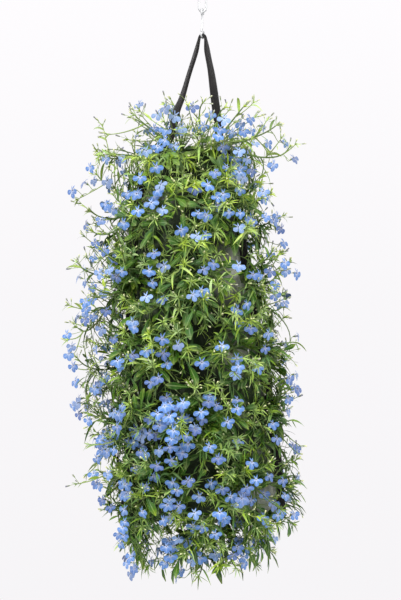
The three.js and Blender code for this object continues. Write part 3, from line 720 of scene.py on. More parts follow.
def bloom_stamp(draw):
    """The blue parts of one bloom: three broad lower lobes, two narrow upper ones and the tube."""
    lobes = []
    for angle in (-158, -90, -22):
        turn = math.radians(angle + draw(-7, 7))
        curl = (draw(1.5, 2.6), draw(-2.9, -1.2))
        lobes.append(petal(turn, 0.75, draw(8.0, 9.0), draw(2.75, 3.3), False, curl, draw(0.03, 0.1)))
    for angle in (66, 114):
        turn = math.radians(angle + draw(-6, 6))
        end, width, curl = draw(5.2, 6.4), draw(0.6, 0.85), (draw(0.6, 1.6), -2.4)
        lobes.append(petal(turn, 0.7, end, width, True, curl, 0.1, 6, 3))
    tube = turned_profile([(1.5, -0.75, 0), (1.15, -1.6, -0.2), (1.0, -3.4, -0.6), (0.85, -5.0, -1)], 7)
    column = turned_profile([(0.02, 0.5, -0.4), (0.4, 0.3, -0.4), (0.42, -0.6, -0.3), (0.3, -2.2, -0.2)], 4)
    column[0][:, 1] += 0.55
    return joined(*lobes, tube, column)


def calyx_stamp():
    """The green cup behind a bloom with five slim sepals, its mouth at the tube's end."""
    cup = turned_profile([(1.15, 0.6, 0.6), (1.15, 0, 0.4), (0.95, -1.2, 0.2), (0.35, -2.4, 0)], 7)
    sepals = []
    share, across = np.linspace(0, 1, 4), np.array([-1.0, 1.0])
    half = 0.42 * (1 - share) ** 0.7 + 0.03
    out = (1.0 + 2.6 * share)[:, None] + 0 * across
    height = (0.2 + 1.9 * share - 0.4 * share ** 2)[:, None] + 0 * across
    for angle in even_turns(5) + 0.4:
        sepals.append(flat_strip(angle, half[:, None] * across, out, height, share, across))
    return joined(cup, *sepals)


BUD = turned_profile(
    [(0.05, 5.1, 1), (0.95, 4.4, 0.82), (0.8, 2.6, 0.5), (0.66, 0.4, 0.1), (0.26, -0.9, 0)], 5, 0.4,
)


# ---------------------------------------------------------------- materials

class Signal:
    """A node's output. Arithmetic with it makes more nodes."""

    def __init__(self, nodes, socket):
        self.nodes, self.socket = nodes, socket

    def math(self, operation, *others):
        inputs = dict(enumerate((self, *others)))
        return self.nodes.add("ShaderNodeMath", "Value", inputs, operation=operation)

    def __add__(self, other):
        return self.math("ADD", other)

    def __mul__(self, other):
        return self.math("MULTIPLY", other)

    def __abs__(self):
        return self.math("ABSOLUTE")

    def span(self, from_low, from_high, to_low, to_high):
        inputs = {0: self, 1: from_low, 2: from_high, 3: to_low, 4: to_high}
        return self.nodes.add("ShaderNodeMapRange", "Result", inputs)

    def ramp(self, *stops):
        made = self.nodes.add("ShaderNodeValToRGB", "Color", {"Fac": self})
        elements = made.socket.node.color_ramp.elements
        while len(elements) < len(stops):
            elements.new(0.5)
        for element, (position, colour) in zip(elements, stops):
            element.position = position
            element.color = (*colour, 1)
        return made


class Nodes:
    """A node tree in the making."""

    def __init__(self, tree):
        self.tree = tree

    def feed(self, socket, value):
        """Links a signal to a socket, or sets the socket to a constant."""
        if isinstance(value, Signal):
            self.tree.links.new(value.socket, socket)
        else:
            socket.default_value = (*value, 1) if socket.type == "RGBA" else value

    def add(self, kind, output, inputs=None, **settings):
        made = self.tree.nodes.new(kind)
        for key, value in settings.items():
            setattr(made, key, value)
        for key, value in (inputs or {}).items():
            self.feed(made.inputs[key], value)
        return Signal(self, made.outputs[output])

    def mix(self, share, first, second, blend="MIX"):
        inputs = {0: share, 6: first, 7: second}
        return self.add("ShaderNodeMix", 2, inputs, data_type="RGBA", blend_type=blend)

    def channels(self, red, green, blue):
        return self.add("ShaderNodeCombineColor", 0, {0: red, 1: green, 2: blue})

    def tinted(self, colour, *factors):
        """The colour times one number, or times one for each channel."""
        factors = factors * 3 if len(factors) == 1 else factors
        return self.mix(1.0, colour, self.channels(*factors), "MULTIPLY")


class Look(Nodes):
    """A node material with one Principled shader."""

    def __init__(self, name, **settings):
        self.material = bpy.data.materials.new(name)
        self.material.use_nodes = True
        super().__init__(self.material.node_tree)
        self.shader = self.tree.nodes["Principled BSDF"]
        for socket, value in settings.items():
            self.shader.inputs[socket.replace("_", " ")].default_value = value

    def value(self, name):
        return self.add("ShaderNodeAttribute", "Fac", attribute_name=name)

    def noise(self, scale, detail=3.0, stretch=(1, 1, 1), rough=0.55, seed=0.0):
        place = self.add("ShaderNodeTexCoord", "Object")
        if stretch != (1, 1, 1) or seed:
            inputs = {"Vector": place, "Scale": stretch, "Location": (seed, 0, 0)}
            place = self.add("ShaderNodeMapping", "Vector", inputs)
        inputs = {"Vector": place, "Scale": scale, "Detail": detail, "Roughness": rough}
        return self.add("ShaderNodeTexNoise", "Fac", inputs)

    def grain(self, scale, low, high, detail=3.0):
        """Noise spread over the range from low to high."""
        return self.noise(scale, detail).span(0.3, 0.7, low, high)

    def finished(self, colour, roughness, height=None, depth=0.0, strength=0.0):
        """The material with its colour, its roughness and a bump of some depth in metres."""
        self.feed(self.shader.inputs["Base Color"], colour)
        self.feed(self.shader.inputs["Roughness"], roughness)
        if height:
            inputs = {"Height": height, "Distance": depth, "Strength": strength}
            self.feed(self.shader.inputs["Normal"], self.add("ShaderNodeBump", "Normal", inputs))
        return self.material


def leaf_look():
    """Across runs from -1 to 1 over the blade, along from its root to its tip, age from young to old, with
    painted light near the rim and painted shade low down mixed in.
    """
    look = Look("leaf", Specular_IOR_Level=0.18)
    away = abs(look.value("across"))
    green = (look.value("age") + look.grain(60, -0.08, 0.08)).ramp(
        (0.0, (0.49, 0.63, 0.29)), (0.25, (0.265, 0.40, 0.145)), (0.55, (0.092, 0.20, 0.062)),
        (1.0, (0.022, 0.076, 0.011)),
    )
    midrib, tip = away.span(0.0, 0.22, 0.4, 0.0), look.value("along").span(0.75, 1.0, 0.0, 0.35)
    green = look.mix(midrib, green, (0.42, 0.54, 0.34))
    green = look.mix(tip, green, (0.40, 0.46, 0.2))
    green = look.tinted(green, 1.0, 1.0, look.noise(45, 2).span(0.35, 0.65, 0.22, 1.0))
    tone = look.value("tone").span(0, 1, 0.52, 1.58) * look.grain(900, 0.9, 1.1, 4)
    relief = look.noise(1600) + away * -0.5
    return look.finished(look.tinted(green, tone), look.grain(500, 0.42, 0.6), relief, 0.0004, 0.5)


def stalk_look():
    look = Look("stalk", Specular_IOR_Level=0.4)
    green = look.value("age").ramp(
        (0.0, (0.37, 0.49, 0.13)), (0.6, (0.155, 0.255, 0.065)), (1.0, (0.07, 0.105, 0.036)),
    )
    green = look.mix(look.noise(45).span(0.52, 0.7, 0.0, 0.35), green, (0.16, 0.09, 0.06))
    green = look.tinted(green, look.value("tone").span(0, 1, 0.75, 1.25))
    ribs = look.noise(1500, 3, (1, 1, 0.2))
    return look.finished(green, look.grain(600, 0.4, 0.62), ribs, 0.0003, 0.4)


def petal_look():
    """Along runs from -1 at the tube's end through 0 at the throat to 1 at a lobe's edge."""
    look = Look("petal", Specular_IOR_Level=0.25, Sheen_Weight=0.25, Sheen_Roughness=0.5)
    along, away, tone = look.value("along"), abs(look.value("across")), look.value("tone")
    blue = along.span(-1, 1, 0, 1).ramp(
        (0.0, (0.26, 0.25, 0.50)), (0.40, (0.34, 0.37, 0.68)), (0.52, (0.66, 0.72, 0.90)),
        (0.60, (0.30, 0.45, 0.81)), (0.70, (0.14, 0.305, 0.71)), (0.9, (0.12, 0.275, 0.675)),
        (1.0, (0.20, 0.36, 0.73)),
    )
    # A pale streak down the middle of each lobe, strongest near the throat: partly the flower's own streak,
    # partly a painted highlight on the lobe's raised middle.
    streak_and_highlight = away.span(0.0, 0.38, 0.66, 0.0) * along.span(0.1, 0.85, 1.0, 0.15)
    veins = (away * 16.0).math("SINE").span(0.55, 1.0, 0.0, 0.16) * along.span(0.2, 0.9, 1.0, 0.1)
    # Paler where a bloom has faded with age, and near the top, where the paleness is painted light from
    # above.
    faded_and_top_lit = look.value("age").span(0.5, 1.0, 0.0, 0.55)
    for share, colour in (
        (tone.span(0.6, 1.0, 0.0, 0.42), (0.20, 0.24, 0.68)), (streak_and_highlight, (0.74, 0.81, 0.96)),
        (veins, (0.10, 0.12, 0.52)), (faded_and_top_lit, (0.46, 0.60, 0.85)),
    ):
        blue = look.mix(share, blue, colour)
    blue = look.tinted(blue, look.grain(700, 0.93, 1.07, 4) * tone.span(0, 1, 1.08, 0.63))
    return look.finished(blue, look.grain(900, 0.45, 0.62), look.noise(1400) + veins * -2.0, 0.0003, 0.4)


def bud_look():
    look = Look("bud", Specular_IOR_Level=0.35)
    along = look.value("along")
    young = along.ramp(
        (0.0, (0.16, 0.27, 0.06)), (0.3, (0.30, 0.40, 0.12)), (0.55, (0.66, 0.70, 0.34)),
        (1.0, (0.90, 0.90, 0.52)),
    )
    ripe = along.ramp(
        (0.0, (0.13, 0.20, 0.07)), (0.28, (0.20, 0.24, 0.13)), (0.5, (0.22, 0.22, 0.22)),
        (1.0, (0.26, 0.27, 0.42)),
    )
    colour = look.mix(look.value("age"), young, ripe)
    colour = look.tinted(colour, look.value("tone").span(0, 1, 0.82, 1.18))
    return look.finished(colour, look.grain(700, 0.4, 0.6), look.noise(1500), 0.0002, 0.4)


def film_look():
    """Age is how cloudy the film is, partly real and partly painted light on the bare patches. Tone is how
    far the film stands out in a crease: it gives painted shade in the creases and painted light on the
    folds.
    """
    look = Look("pouch_film", Specular_IOR_Level=0.12, Coat_Weight=0.06, Coat_Roughness=0.3)
    haze = look.noise(14, 5, (1, 1, 0.6))
    # The darkest stops of this ramp are tinted green: painted light reflected from the leaves onto the film.
    grey = (haze + (look.noise(90, 4) + -0.5) * 0.5).ramp(
        (0.40, (0.007, 0.015, 0.003)), (0.55, (0.016, 0.032, 0.008)), (0.66, (0.095, 0.12, 0.075)),
        (0.80, (0.42, 0.44, 0.36)),
    )
    # The bare patches are cloudy and lighter: partly the film's own haze, partly painted light where light
    # falls on them.
    milky_and_lit = look.value("age") * look.noise(55, 5, seed=9.0).span(0.3, 0.62, 0.15, 1.0)
    grey = look.mix(milky_and_lit, grey, (0.72, 0.75, 0.63))
    # The tone tints the film: painted shade in its creases and painted light on its folds.
    grey = look.tinted(grey, look.value("tone").span(0.0, 1.0, 0.8, 1.35))
    wrinkles = look.noise(160, 5) + look.noise(420, 3, seed=3.0) * 0.4
    return look.finished(grey, haze.span(0.3, 0.7, 0.34, 0.55), wrinkles, 0.0012, 0.8)


def compost_look():
    look = Look("compost", Specular_IOR_Level=0.2)
    brown = look.noise(260, 6, rough=0.7).ramp(
        (0.3, (0.012, 0.008, 0.005)), (0.5, (0.035, 0.022, 0.013)), (0.68, (0.085, 0.055, 0.032)),
        (0.8, (0.19, 0.15, 0.10)),
    )
    brown = look.tinted(brown, look.value("tone").span(0, 1, 0.7, 1.5))
    return look.finished(brown, look.grain(300, 0.8, 0.98), look.noise(500, 6, rough=0.7), 0.003, 0.9)


def webbing_look():
    """Black herringbone webbing: across and along are millimetres on the band."""
    look = Look("webbing", Specular_IOR_Level=0.25, Sheen_Weight=0.25, Sheen_Roughness=0.45)
    across = look.value("across")
    zigzag = look.value("along") + across.math("PINGPONG", 1.6)
    weave = ((zigzag * 7.0).math("SINE") + (across * 11.0).math("SINE") * 0.6) * 0.5
    black = look.noise(40, 4).ramp(
        (0.3, (0.008, 0.007, 0.0075)), (0.6, (0.015, 0.0125, 0.013)), (0.8, (0.032, 0.026, 0.024)),
    )
    black = look.mix(weave.span(0.1, 0.9, 0.0, 0.4), black, (0.048, 0.039, 0.038))
    return look.finished(black, weave.span(-0.8, 0.8, 0.78, 0.6), weave, 0.0004, 0.8)


def thread_look():
    look = Look("thread", Specular_IOR_Level=0.35)
    strands = (look.value("along") * 60.0).math("SINE")
    dark = look.noise(300).ramp((0.3, (0.02, 0.018, 0.018)), (0.7, (0.06, 0.052, 0.05)))
    return look.finished(look.tinted(dark, strands.span(-1, 1, 0.8, 1.3)), look.grain(200, 0.45, 0.6))


def steel_look():
    look = Look("wire_steel", Metallic=1.0)
    scratches = look.noise(900, 4, (1, 1, 0.12))
    steel = look.noise(120, 5).ramp(
        (0.3, (0.56, 0.57, 0.58)), (0.55, (0.74, 0.75, 0.755)), (0.75, (0.84, 0.845, 0.85)),
    )
    steel = look.tinted(steel, scratches.span(0.3, 0.7, 0.85, 1.1))
    return look.finished(steel, scratches.span(0.3, 0.7, 0.28, 0.48), scratches, 0.0002, 0.3)


# ---------------------------------------------------------------- finer growth

TWIG = dict(every=26, shortest=20, longest=46, root=0.85, tip=0.5, clear=0.5, star=9)
CREEPER = dict(count=8, shortest=34, longest=78, clear=0.2, star=7)
INFILL = dict(rows=35, columns=34, off=(5, 32), below=60, above=24, furthest=95, nearest=14)
STEM_STAR = 11
LEAF_STEP = 5.2
SPIRAL = 2.4
STAR = dict(small=7, chance=0.27, leaves=13)
HEM = -640
COVER = dict(apart=8, near=8, enough=1, reach=52, low=17)
# Ranges from which a leaf's shape is drawn, and the lengths and widths of the broad ones.
BLADE = dict(arch=(0.1, 0.5), droop=(0.0, 0.6), bend=(-0.2, 0.2), twist=(-0.8, 0.8), fold=(0.1, 0.4))
BROAD = dict(
    lying=((15, 28), (6, 11)), hem=((16, 28), (5, 8.5)), slit=((17, 34), (7, 12)), mouth=((17, 22), (7, 12)),
)
# From where to where shoots come to stand free: past the pouch's side, and in height round its rim.
FREE_BESIDE, FREE_ABOVE = (8, 24), (-216, -192)
# From where to where, going down, leaves lose the youth and the painted light they have near the rim, and
# get painted shade that makes them darker.
YOUNG_AND_TOP_LIT, PAINTED_SHADE_LOW = (190, 330), (430, 560)
# The shares of shoots that flower: anywhere, more at the shoulders, in the belt and at the hem's left
# and right, and none at the top. Then where these places are.
FLOWERING = dict(anywhere=0.066, shoulder=0.32, belt=0.22, left=0.85, right=0.4)
SHOULDERS, SHOULDER_SPREAD = [(-78, -50, -210), (48, -50, -210)], 1500
BELT = dict(z=-532, reach=38)
HEM_FROM, NO_FLOWERS_FROM = (682, 700), (-198, -182)
# Leaves narrower than this are built with fewer points, and hide less of the film.
NARROW = 3
# Sister blooms keep this far apart seen along their facing, or stand this far before or behind.
# Share is how readily a bloom has sisters where flowers crowd.
SISTER = dict(apart=15.5, depth=3.4, share=0.65)
# Leaves keep this far from the middle of a bloom, or this far before or behind its petals.
PETALS = dict(radius=8.6, depth=3.2)
# Where the strap's legs stay in sight: from where to where in height, how much of a leg counts as
# beside a leaf, and how far leaves keep from it.
LEGS = dict(bottom=-196, top=-80, beside=5, clear=8)
# Where every bloom has sisters: a belt at the front low down.
CROWDED = dict(z=-530, reach=19, left=-84, right=16)
# Seen from the front, where the plant is thin: x, z, reach each way and share left out. Then where it
# is full: x, z, reach each way and how many more shoots. Then where the film shows: left, right, low
# and high.
THIN = [
    (105, -552, 26, 54, 0.97), (-105, -648, 30, 38, 0.8), (-103, -258, 30, 24, 0.97),
    (56, -338, 12, 36, 0.7), (99, -390, 14, 14, 0.6), (-90, -692, 12, 16, 0.8), (-60, -184, 18, 20, 0.95),
    (4, -178, 34, 18, 0.9), (64, -178, 22, 20, 0.75), (2, -722, 36, 14, 0.95), (92, -690, 22, 22, 0.8),
    (-40, -392, 16, 34, 0.5), (-8, -494, 14, 20, 0.5), (-6, -574, 20, 30, 0.5),
]
FULL = [
    (-128, -440, 12, 20, 7), (-129, -500, 14, 34, 16), (-50, -688, 22, 12, 10), (-112, -222, 14, 14, 8),
    (106, -454, 12, 28, 9),
]
BARE_FILM = [(-65, -44, -280, -261), (27, 50, -366, -335), (30, 48, -460, -438), (54, 82, -630, -604)]
CAD_LOW, CAD_HIGH = [np.array(corner) / METRE for corner in cad_box]


def within_reach(point, spare=2):
    """Whether a point lies in the solids' box, give or take a little."""
    return bool(np.all(point > CAD_LOW - spare) and np.all(point < CAD_HIGH + spare))


def off_strap(points):
    """How far each point is from the webbing."""
    gaps = norms(points[:, None] - STRAP_POINTS)
    return gaps.min(axis=1) - STRAP["seam_width"] / 2


def clear_of_strap(points, margin=4.5):
    return bool((off_strap(points) >= margin).all())


def thinness(at):
    """How thin the plant is round a place, from 0 to 1."""
    return max(
        share * math.exp(-((at[0] - x) / wide) ** 2 - ((at[2] - z) / high) ** 2)
        for x, z, wide, high, share in THIN
    )


def on_bare_film(at):
    """Whether a place lies in front of one of the patches where the film shows."""
    return at[1] < 0 and any(
        left < at[0] < right and low < at[2] < high for left, right, low, high in BARE_FILM
    )


def shoot_on(curve, length, shares, age, star):
    """A fine shoot. Age darkens its leaves, and star is how many leaves its tip has."""
    return dict(
        curve=curve, length=length, nodes=nodes_at(curve, shares), heading=tangent_on(curve, 1), age=age,
        star=STEM_STAR if star < TWIG["star"] and point_on(curve, 1)[2] > RIM else star,
    )


def grow_twig(room, at, along, draw, age, sizes=TWIG):
    """A side shoot from a point of a stem, or a creeper that spreads over the pouch."""
    creeping = sizes is CREEPER
    for attempt in range(ATTEMPTS["twig"]):
        out = outward(at)
        around = cross(UP, out)
        wish = out * draw(0.1, 1) + around * draw(-1, 1) + UP * draw(-0.3, 0.6)
        if creeping:
            angle = draw(0, FULL_TURN)
            wish = out * draw(0.25, 0.6) + around * math.cos(angle) + UP * math.sin(angle)
        heading = unit(square_to(along, wish) * 0.85 + along * draw(0.2, 0.8))
        length = draw(sizes["shortest"], sizes["longest"]) * (1 - attempt * 0.07)
        rise = lerp(draw(0.15, 0.65), draw(-0.7, -0.1), smoothstep(-at[2], *HANGING))
        middle = at + heading * (length * 0.5)
        tip = middle + unit(heading + UP * rise + out * draw(-0.1, 0.35)) * (length * 0.5)
        curve = bezier(at, middle, tip)
        balls, radius = chain(curve, length, CLEAR["stalk"], sizes["clear"])
        if within_reach(tip) and clear_of_strap(balls) and kept(room, balls, radius):
            return shoot_on(curve, length, (0.45, 0.8) if length > 30 else (0.7,), age, sizes["star"])
    return None


def infill_targets(draw):
    """Places spread evenly just off the film, below the pouch and above its rim, and at full places."""
    targets = []
    for row in range(INFILL["rows"]):
        z = lerp(RIM + 18, WELD - 12, (row + 0.5) / INFILL["rows"])
        for place in range(INFILL["columns"]):
            angle = FULL_TURN * (place + (row % 2) / 2 + draw(-0.3, 0.3)) / INFILL["columns"]
            target = pouch_point(z + draw(-7, 7), angle, -draw(*INFILL["off"]))
            if not on_bare_film(target):
                targets.append(target)
    for order in range(INFILL["below"]):
        across = lerp(-1, 1, (order + 0.5) / INFILL["below"])
        targets.append(vec(88 * across, draw(-42, 36), HEM - 12 - (60 - 38 * abs(across)) * draw()))
    for order in range(INFILL["above"]):
        out, angle = math.sqrt((order + 0.5) / INFILL["above"]), order * SPIRAL
        z = draw(-192, -160) - 12 * out
        targets.append(vec(90 * out * math.cos(angle) - 8, 50 * out * math.sin(angle), z))
    targets = [target for target in targets if draw() > thinness(target)]
    for x, z, wide, high, count in FULL:
        targets += [vec(x + wide * draw(-1, 1), draw(-45, 30), z + high * draw(-1, 1)) for _ in range(count)]
    return targets


def grow_infill(room, plants):
    """Short leafy shoots from the nearest stem or crown to evenly spread places."""
    draw = seeded(8000)
    starts = [(out_from(plant["site"], 9), plant) for plant in plants]
    for plant in plants:
        for stem in plant["stems"]:
            starts += [(at, plant) for at in stem["curve"](np.arange(0.12, 0.75, 0.08))]
    places = np.array([at for at, _ in starts])
    for target in infill_targets(draw):
        upright = target[2] > RIM
        gaps = norms(places - target)
        near = gaps < INFILL["nearest"]
        if upright:
            gaps += 0.9 * norms((places - target)[:, :2])
        else:
            gaps += 0.6 * np.maximum(0, target[2] - places[:, 2] - 10)
        gaps[near] = math.inf
        for choice in np.argsort(gaps)[:4]:
            at, plant = starts[choice]
            length = length_of(target - at)
            bow = outward((at + target) / 2) * (length * draw(0.15, 0.4)) + UP * (length * draw(0.0, 0.25))
            bow = bow * (0.35 if upright else 1)
            curve = bezier(at, (at + target) / 2 + bow, target)
            balls, radius = chain(curve, length, CLEAR["stalk"], 0.1)
            in_range = gaps[choice] < INFILL["furthest"]
            if in_range and clear_of_strap(balls, 1.5) and kept(room, balls, radius):
                age = 0.45 if upright else 0.9
                plant["shoots"].append(shoot_on(curve, length * 1.08, (0.55, 0.9), age, CREEPER["star"]))
                break


def flowering_chance(at):
    """Flowers crowd round two places at the shoulders, in a belt low down and along the hem."""
    shoulder = max(math.exp(-length_of(at - vec(*place)) ** 2 / SHOULDER_SPREAD) for place in SHOULDERS)
    belt = math.exp(-((at[2] - BELT["z"]) / BELT["reach"]) ** 2)
    hem = smoothstep(0.35 * abs(at[0]) - at[2], *HEM_FROM) * FLOWERING["left" if at[0] < -20 else "right"]
    chance = FLOWERING["anywhere"] + FLOWERING["shoulder"] * shoulder + FLOWERING["belt"] * belt + hem
    return chance * (1 - thinness(at)) * (1 - smoothstep(at[2], *NO_FLOWERS_FROM))


def beside_blooms(points, centres, facings):
    """How far each point lies before or behind each bloom, and how far from its axis."""
    apart = points[:, None] - centres
    depth = np.abs(np.einsum("lbk,bk->lb", apart, facings))
    return depth, np.sqrt(np.maximum(np.sum(apart ** 2, axis=2) - depth ** 2, 0))


def crowd_blooms(plants):
    """Sister blooms from the same nodes, a little in front of or behind the ones already there."""
    centres = [bloom["centre"] for plant in plants for bloom in plant["blooms"]]
    facings = [bloom["facing"] for plant in plants for bloom in plant["blooms"]]
    for number, plant in enumerate(plants):
        draw = seeded(9700 + number)
        for bloom in [bloom for bloom in plant["blooms"] for _ in range(2)]:
            x, y, z = bloom["centre"]
            crowded = abs(z - CROWDED["z"]) < CROWDED["reach"] and CROWDED["left"] < x < CROWDED["right"]
            chance = SISTER["share"] * flowering_chance(bloom["centre"])
            if draw() > (1 if crowded and y < 0 else chance):
                continue
            for _ in range(ATTEMPTS["sister_bloom"]):
                angle, apart, depth = draw(0, FULL_TURN), draw(10, 15), draw(3.6, 8)
                depth *= 1 if draw() < 0.5 else -1
                aside = bloom["right"] * math.cos(angle) + bloom["up"] * math.sin(angle)
                centre = bloom["centre"] + aside * apart + bloom["facing"] * depth
                base = centre - bloom["facing"] * BLOOM["tube"]
                depth, radial = beside_blooms(centre[None], np.array(centres), np.array(facings))
                taken = ((depth < SISTER["depth"]) & (radial < SISTER["apart"])).any()
                open_place = not taken and pouch_share(base[None], 4)[0] > 1
                if open_place and within_reach(centre, 4) and clear_of_strap(centre[None], 4):
                    made = dict(bloom, centre=centre, base=base, stalk=unit(base - bloom["root"]))
                    plant["blooms"].append(made)
                    centres.append(centre)
                    facings.append(bloom["facing"])
                    break


def grow_finer(room, plants):
    """Side shoots on every stem and round every crown, with a bloom where there is room."""
    grow_infill(room, plants)
    for number, plant in enumerate(plants):
        site, draw = plant["site"], seeded(9000 + number)
        crown = out_from(site, CROWN["tip"] - 3)
        finer = []
        for stem in plant["stems"]:
            stem["star"] = STEM_STAR
            count = int(stem["length"] / TWIG["every"]) + 1
            for order in range(count):
                share = 0.2 + 0.74 * (order + draw(0.2, 0.8)) / count
                at, along = point_on(stem["curve"], share), tangent_on(stem["curve"], share)
                twig = grow_twig(room, at, along, draw, 1 - share)
                if twig:
                    end = twig["nodes"][-1]["at"]
                    if draw() > max(thinness(end), 0.8 if end[2] > RIM + 8 else 0):
                        finer.append(twig)
        for _ in range(CREEPER["count"]):
            twig = grow_twig(room, crown, site["out"], draw, 0.85, CREEPER)
            if twig:
                finer.append(twig)
        plant["shoots"] = finer + plant["shoots"]
    for number, plant in enumerate(plants):
        draw = seeded(9500 + number)
        own = [node["bloom"] for stem in plant["stems"] for node in stem["nodes"]]
        plant["blooms"] = [bloom for bloom in own if bloom]
        for twig in plant["shoots"]:
            flowering = draw() < flowering_chance(twig["nodes"][-1]["at"])
            for node in reversed(twig["nodes"] if flowering else []):
                bloom = grow_bloom(room, node, draw, ATTEMPTS["twig_bloom"])
                if bloom and within_reach(bloom["centre"], 4):
                    plant["blooms"].append(bloom)
    crowd_blooms(plants)


# ---------------------------------------------------------------- leaves

def airy(at):
    """From 0 over the pouch to 1 where shoots stand out at its sides or above its rim."""
    _, x, a, _ = station(POUCH, at[2])
    return max(smoothstep(abs(at[0] - x) - a, *FREE_BESIDE), smoothstep(at[2], *FREE_ABOVE))


def age_with_painted_light(age, z):
    """Leaves stay young and bright near the rim, partly real youth and partly painted light from above, and
    painted shade makes them darker low down.
    """
    return min(1, max(0, age * lerp(0.5, 1, smoothstep(-z, *YOUNG_AND_TOP_LIT)) + 0.1 * smoothstep(-z, *PAINTED_SHADE_LOW)))


def off_film(root, heading):
    """Turns a leaf's heading away from the film where it would run into it."""
    if pouch_share(root[None], 28)[0] > 1:
        return heading
    out = outward(root)
    return unit(heading - out * (min(0.0, dot(heading, out)) * 1.05 - 0.06))


def leaf_at(root, heading, length, width, age, draw, broad=0):
    face = UP * 0.6 + outward(root) + vec(draw(-1.1, 1.1), draw(-1.1, 1.1), draw(-0.2, 0.2))
    shape = {key: draw(*limits) for key, limits in BLADE.items()}
    return dict(
        shape, root=root, heading=off_film(root, heading), face=face, length=length, width=width,
        broad=broad, tone=draw(), age=age_with_painted_light(age, root[2]),
    )


def broad_leaf(root, heading, kind, draw, *age):
    """A broad leaf of a kind. Its age is one number, or two limits to draw it from."""
    length, width = [draw(*limits) for limits in BROAD[kind]]
    return leaf_at(root, heading, length, width, draw(*age) if len(age) > 1 else age[0], draw, 1)


def lay_flat(leaf, out, rise, droop, draw):
    """Turns a leaf to lie flat over the film, its face outwards."""
    leaf.update(face=out + UP * draw(0, rise), arch=draw(0, 0.2), droop=draw(0, droop))
    return leaf


def leaf_points(leaf, shares):
    """Points on a leaf's line as it droops."""
    return [
        leaf["root"] + (leaf["heading"] - UP * (leaf["droop"] * share)) * (leaf["length"] * share)
        for share in shares
    ]


def leaves_along(shoot, first, age_root, age_tip, draw):
    """Narrow leaves set spirally along a shoot, with broad old ones lying on the film between them."""
    leaves = []
    curve, length = shoot["curve"], shoot["length"]
    turn = draw(0, FULL_TURN)
    for order in range(int((length - first) / LEAF_STEP)):
        share = (first + LEAF_STEP * (order + draw(0, 0.5))) / length
        at, along = point_on(curve, share), tangent_on(curve, share)
        out, open_air = outward(at), airy(at)
        turn += SPIRAL
        side = square_to(along, vec(math.cos(turn), math.sin(turn), draw(-0.5, 0.9)) + out * 0.55)
        heading = unit(side + along * draw(0.25, 1.0) + UP * draw(-0.1, 0.25))
        heading = unit(heading + along * (0.7 * open_air))
        reach = draw(12, 27) * (1.05 - 0.35 * share) * (1 - 0.1 * open_air)
        age = lerp(age_root, age_tip, share) + draw(-0.12, 0.12)
        if draw() < max((0.84 if at[2] > RIM else 0.66) * open_air, thinness(at)):
            continue
        if age > 0.55 and open_air < 0.7 and draw() < 0.75:
            lying = unit(heading - out * (0.6 * dot(heading, out)))
            leaves.append(lay_flat(broad_leaf(at, lying, "lying", draw, age + 0.1), out, 0.6, 0.3, draw))
        width = draw(2.0, 4.1) * (1 + 0.15 * open_air)
        if -700 < at[2] < HEM and draw() < 0.2:
            leaves.append(broad_leaf(at, unit(heading - UP), "hem", draw, 0.6, 1))
        leaf = leaf_at(at, heading, reach, width, age, draw)
        leaf["droop"] += (0.3 if at[0] > 0 else 0.05) * open_air
        leaves.append(leaf)
    return leaves


def rosette(tip, heading, count, draw):
    """The star of young leaves at a shoot's tip: wide and bright on some, small and darker on others."""
    turn = draw(0, FULL_TURN)
    leaves = []
    open_air = airy(tip)
    star = count > STAR["small"] or draw() < STAR["chance"]
    if star and open_air < 0.5:
        count = max(count, STAR["leaves"])
    elif not star:
        count -= 3
    count = round(count * (1 - max(0.5 * open_air, 0.8 * thinness(tip))))
    heading = unit(heading + outward(tip) * ((1.3 if star else 0.4) * (1 - open_air)))
    side = unit(cross(heading, vec(0.31, 0.17, 0.93)))
    for order in range(count):
        turn += SPIRAL
        tilt = math.radians(18 + (64 - 26 * open_air) * (order + draw()) / count)
        forward = heading * math.cos(tilt) + turned(side, heading, turn) * math.sin(tilt)
        length = (draw(6, 9) + 8 * order / count) * (1 - 0.2 * open_air)
        age = draw(0, 0.12) + 0.2 * order / count if star else draw(0.25, 0.6)
        leaf = leaf_at(tip, forward, length, draw(1.1, 2.0) * (1 + 0.25 * open_air), age, draw)
        leaf.update(face=heading, droop=draw(0.0, 0.35))
        leaves.append(leaf)
    return leaves


def basal_leaves(site, draw):
    """The broad old leaves round a crown."""
    leaves = []
    count, kind = (11, "slit") if site["slit"] else (6, "mouth")
    for order in range(count):
        angle = order * SPIRAL + draw(-0.3, 0.3)
        around = site["wide"] * math.cos(angle) + site["high"] * math.sin(angle)
        root = out_from(site, draw(4, 9)) + around * 2
        heading = unit(around + site["out"] * draw(0.3, 0.9) + UP * draw(-0.2, 0.3))
        leaves.append(broad_leaf(root, heading, kind, draw, 0.7, 1))
    return leaves


def source_leaf(leaf, draw):
    """A leaf of the solids as a fine blade along the same line."""
    step = leaf["tip"] - leaf["root"]
    length = length_of(leaf["middle"] - leaf["root"]) * 2
    droop = dot(leaf["heading"] * length - step, UP) / length
    made = leaf_at(leaf["root"], leaf["heading"], length, leaf["width"], draw(0.25, 0.8), draw)
    made.update(face=UP, droop=droop, arch=(0.06 + 0.25 * droop) / 0.31, bend=0, twist=draw(-0.4, 0.4))
    return made


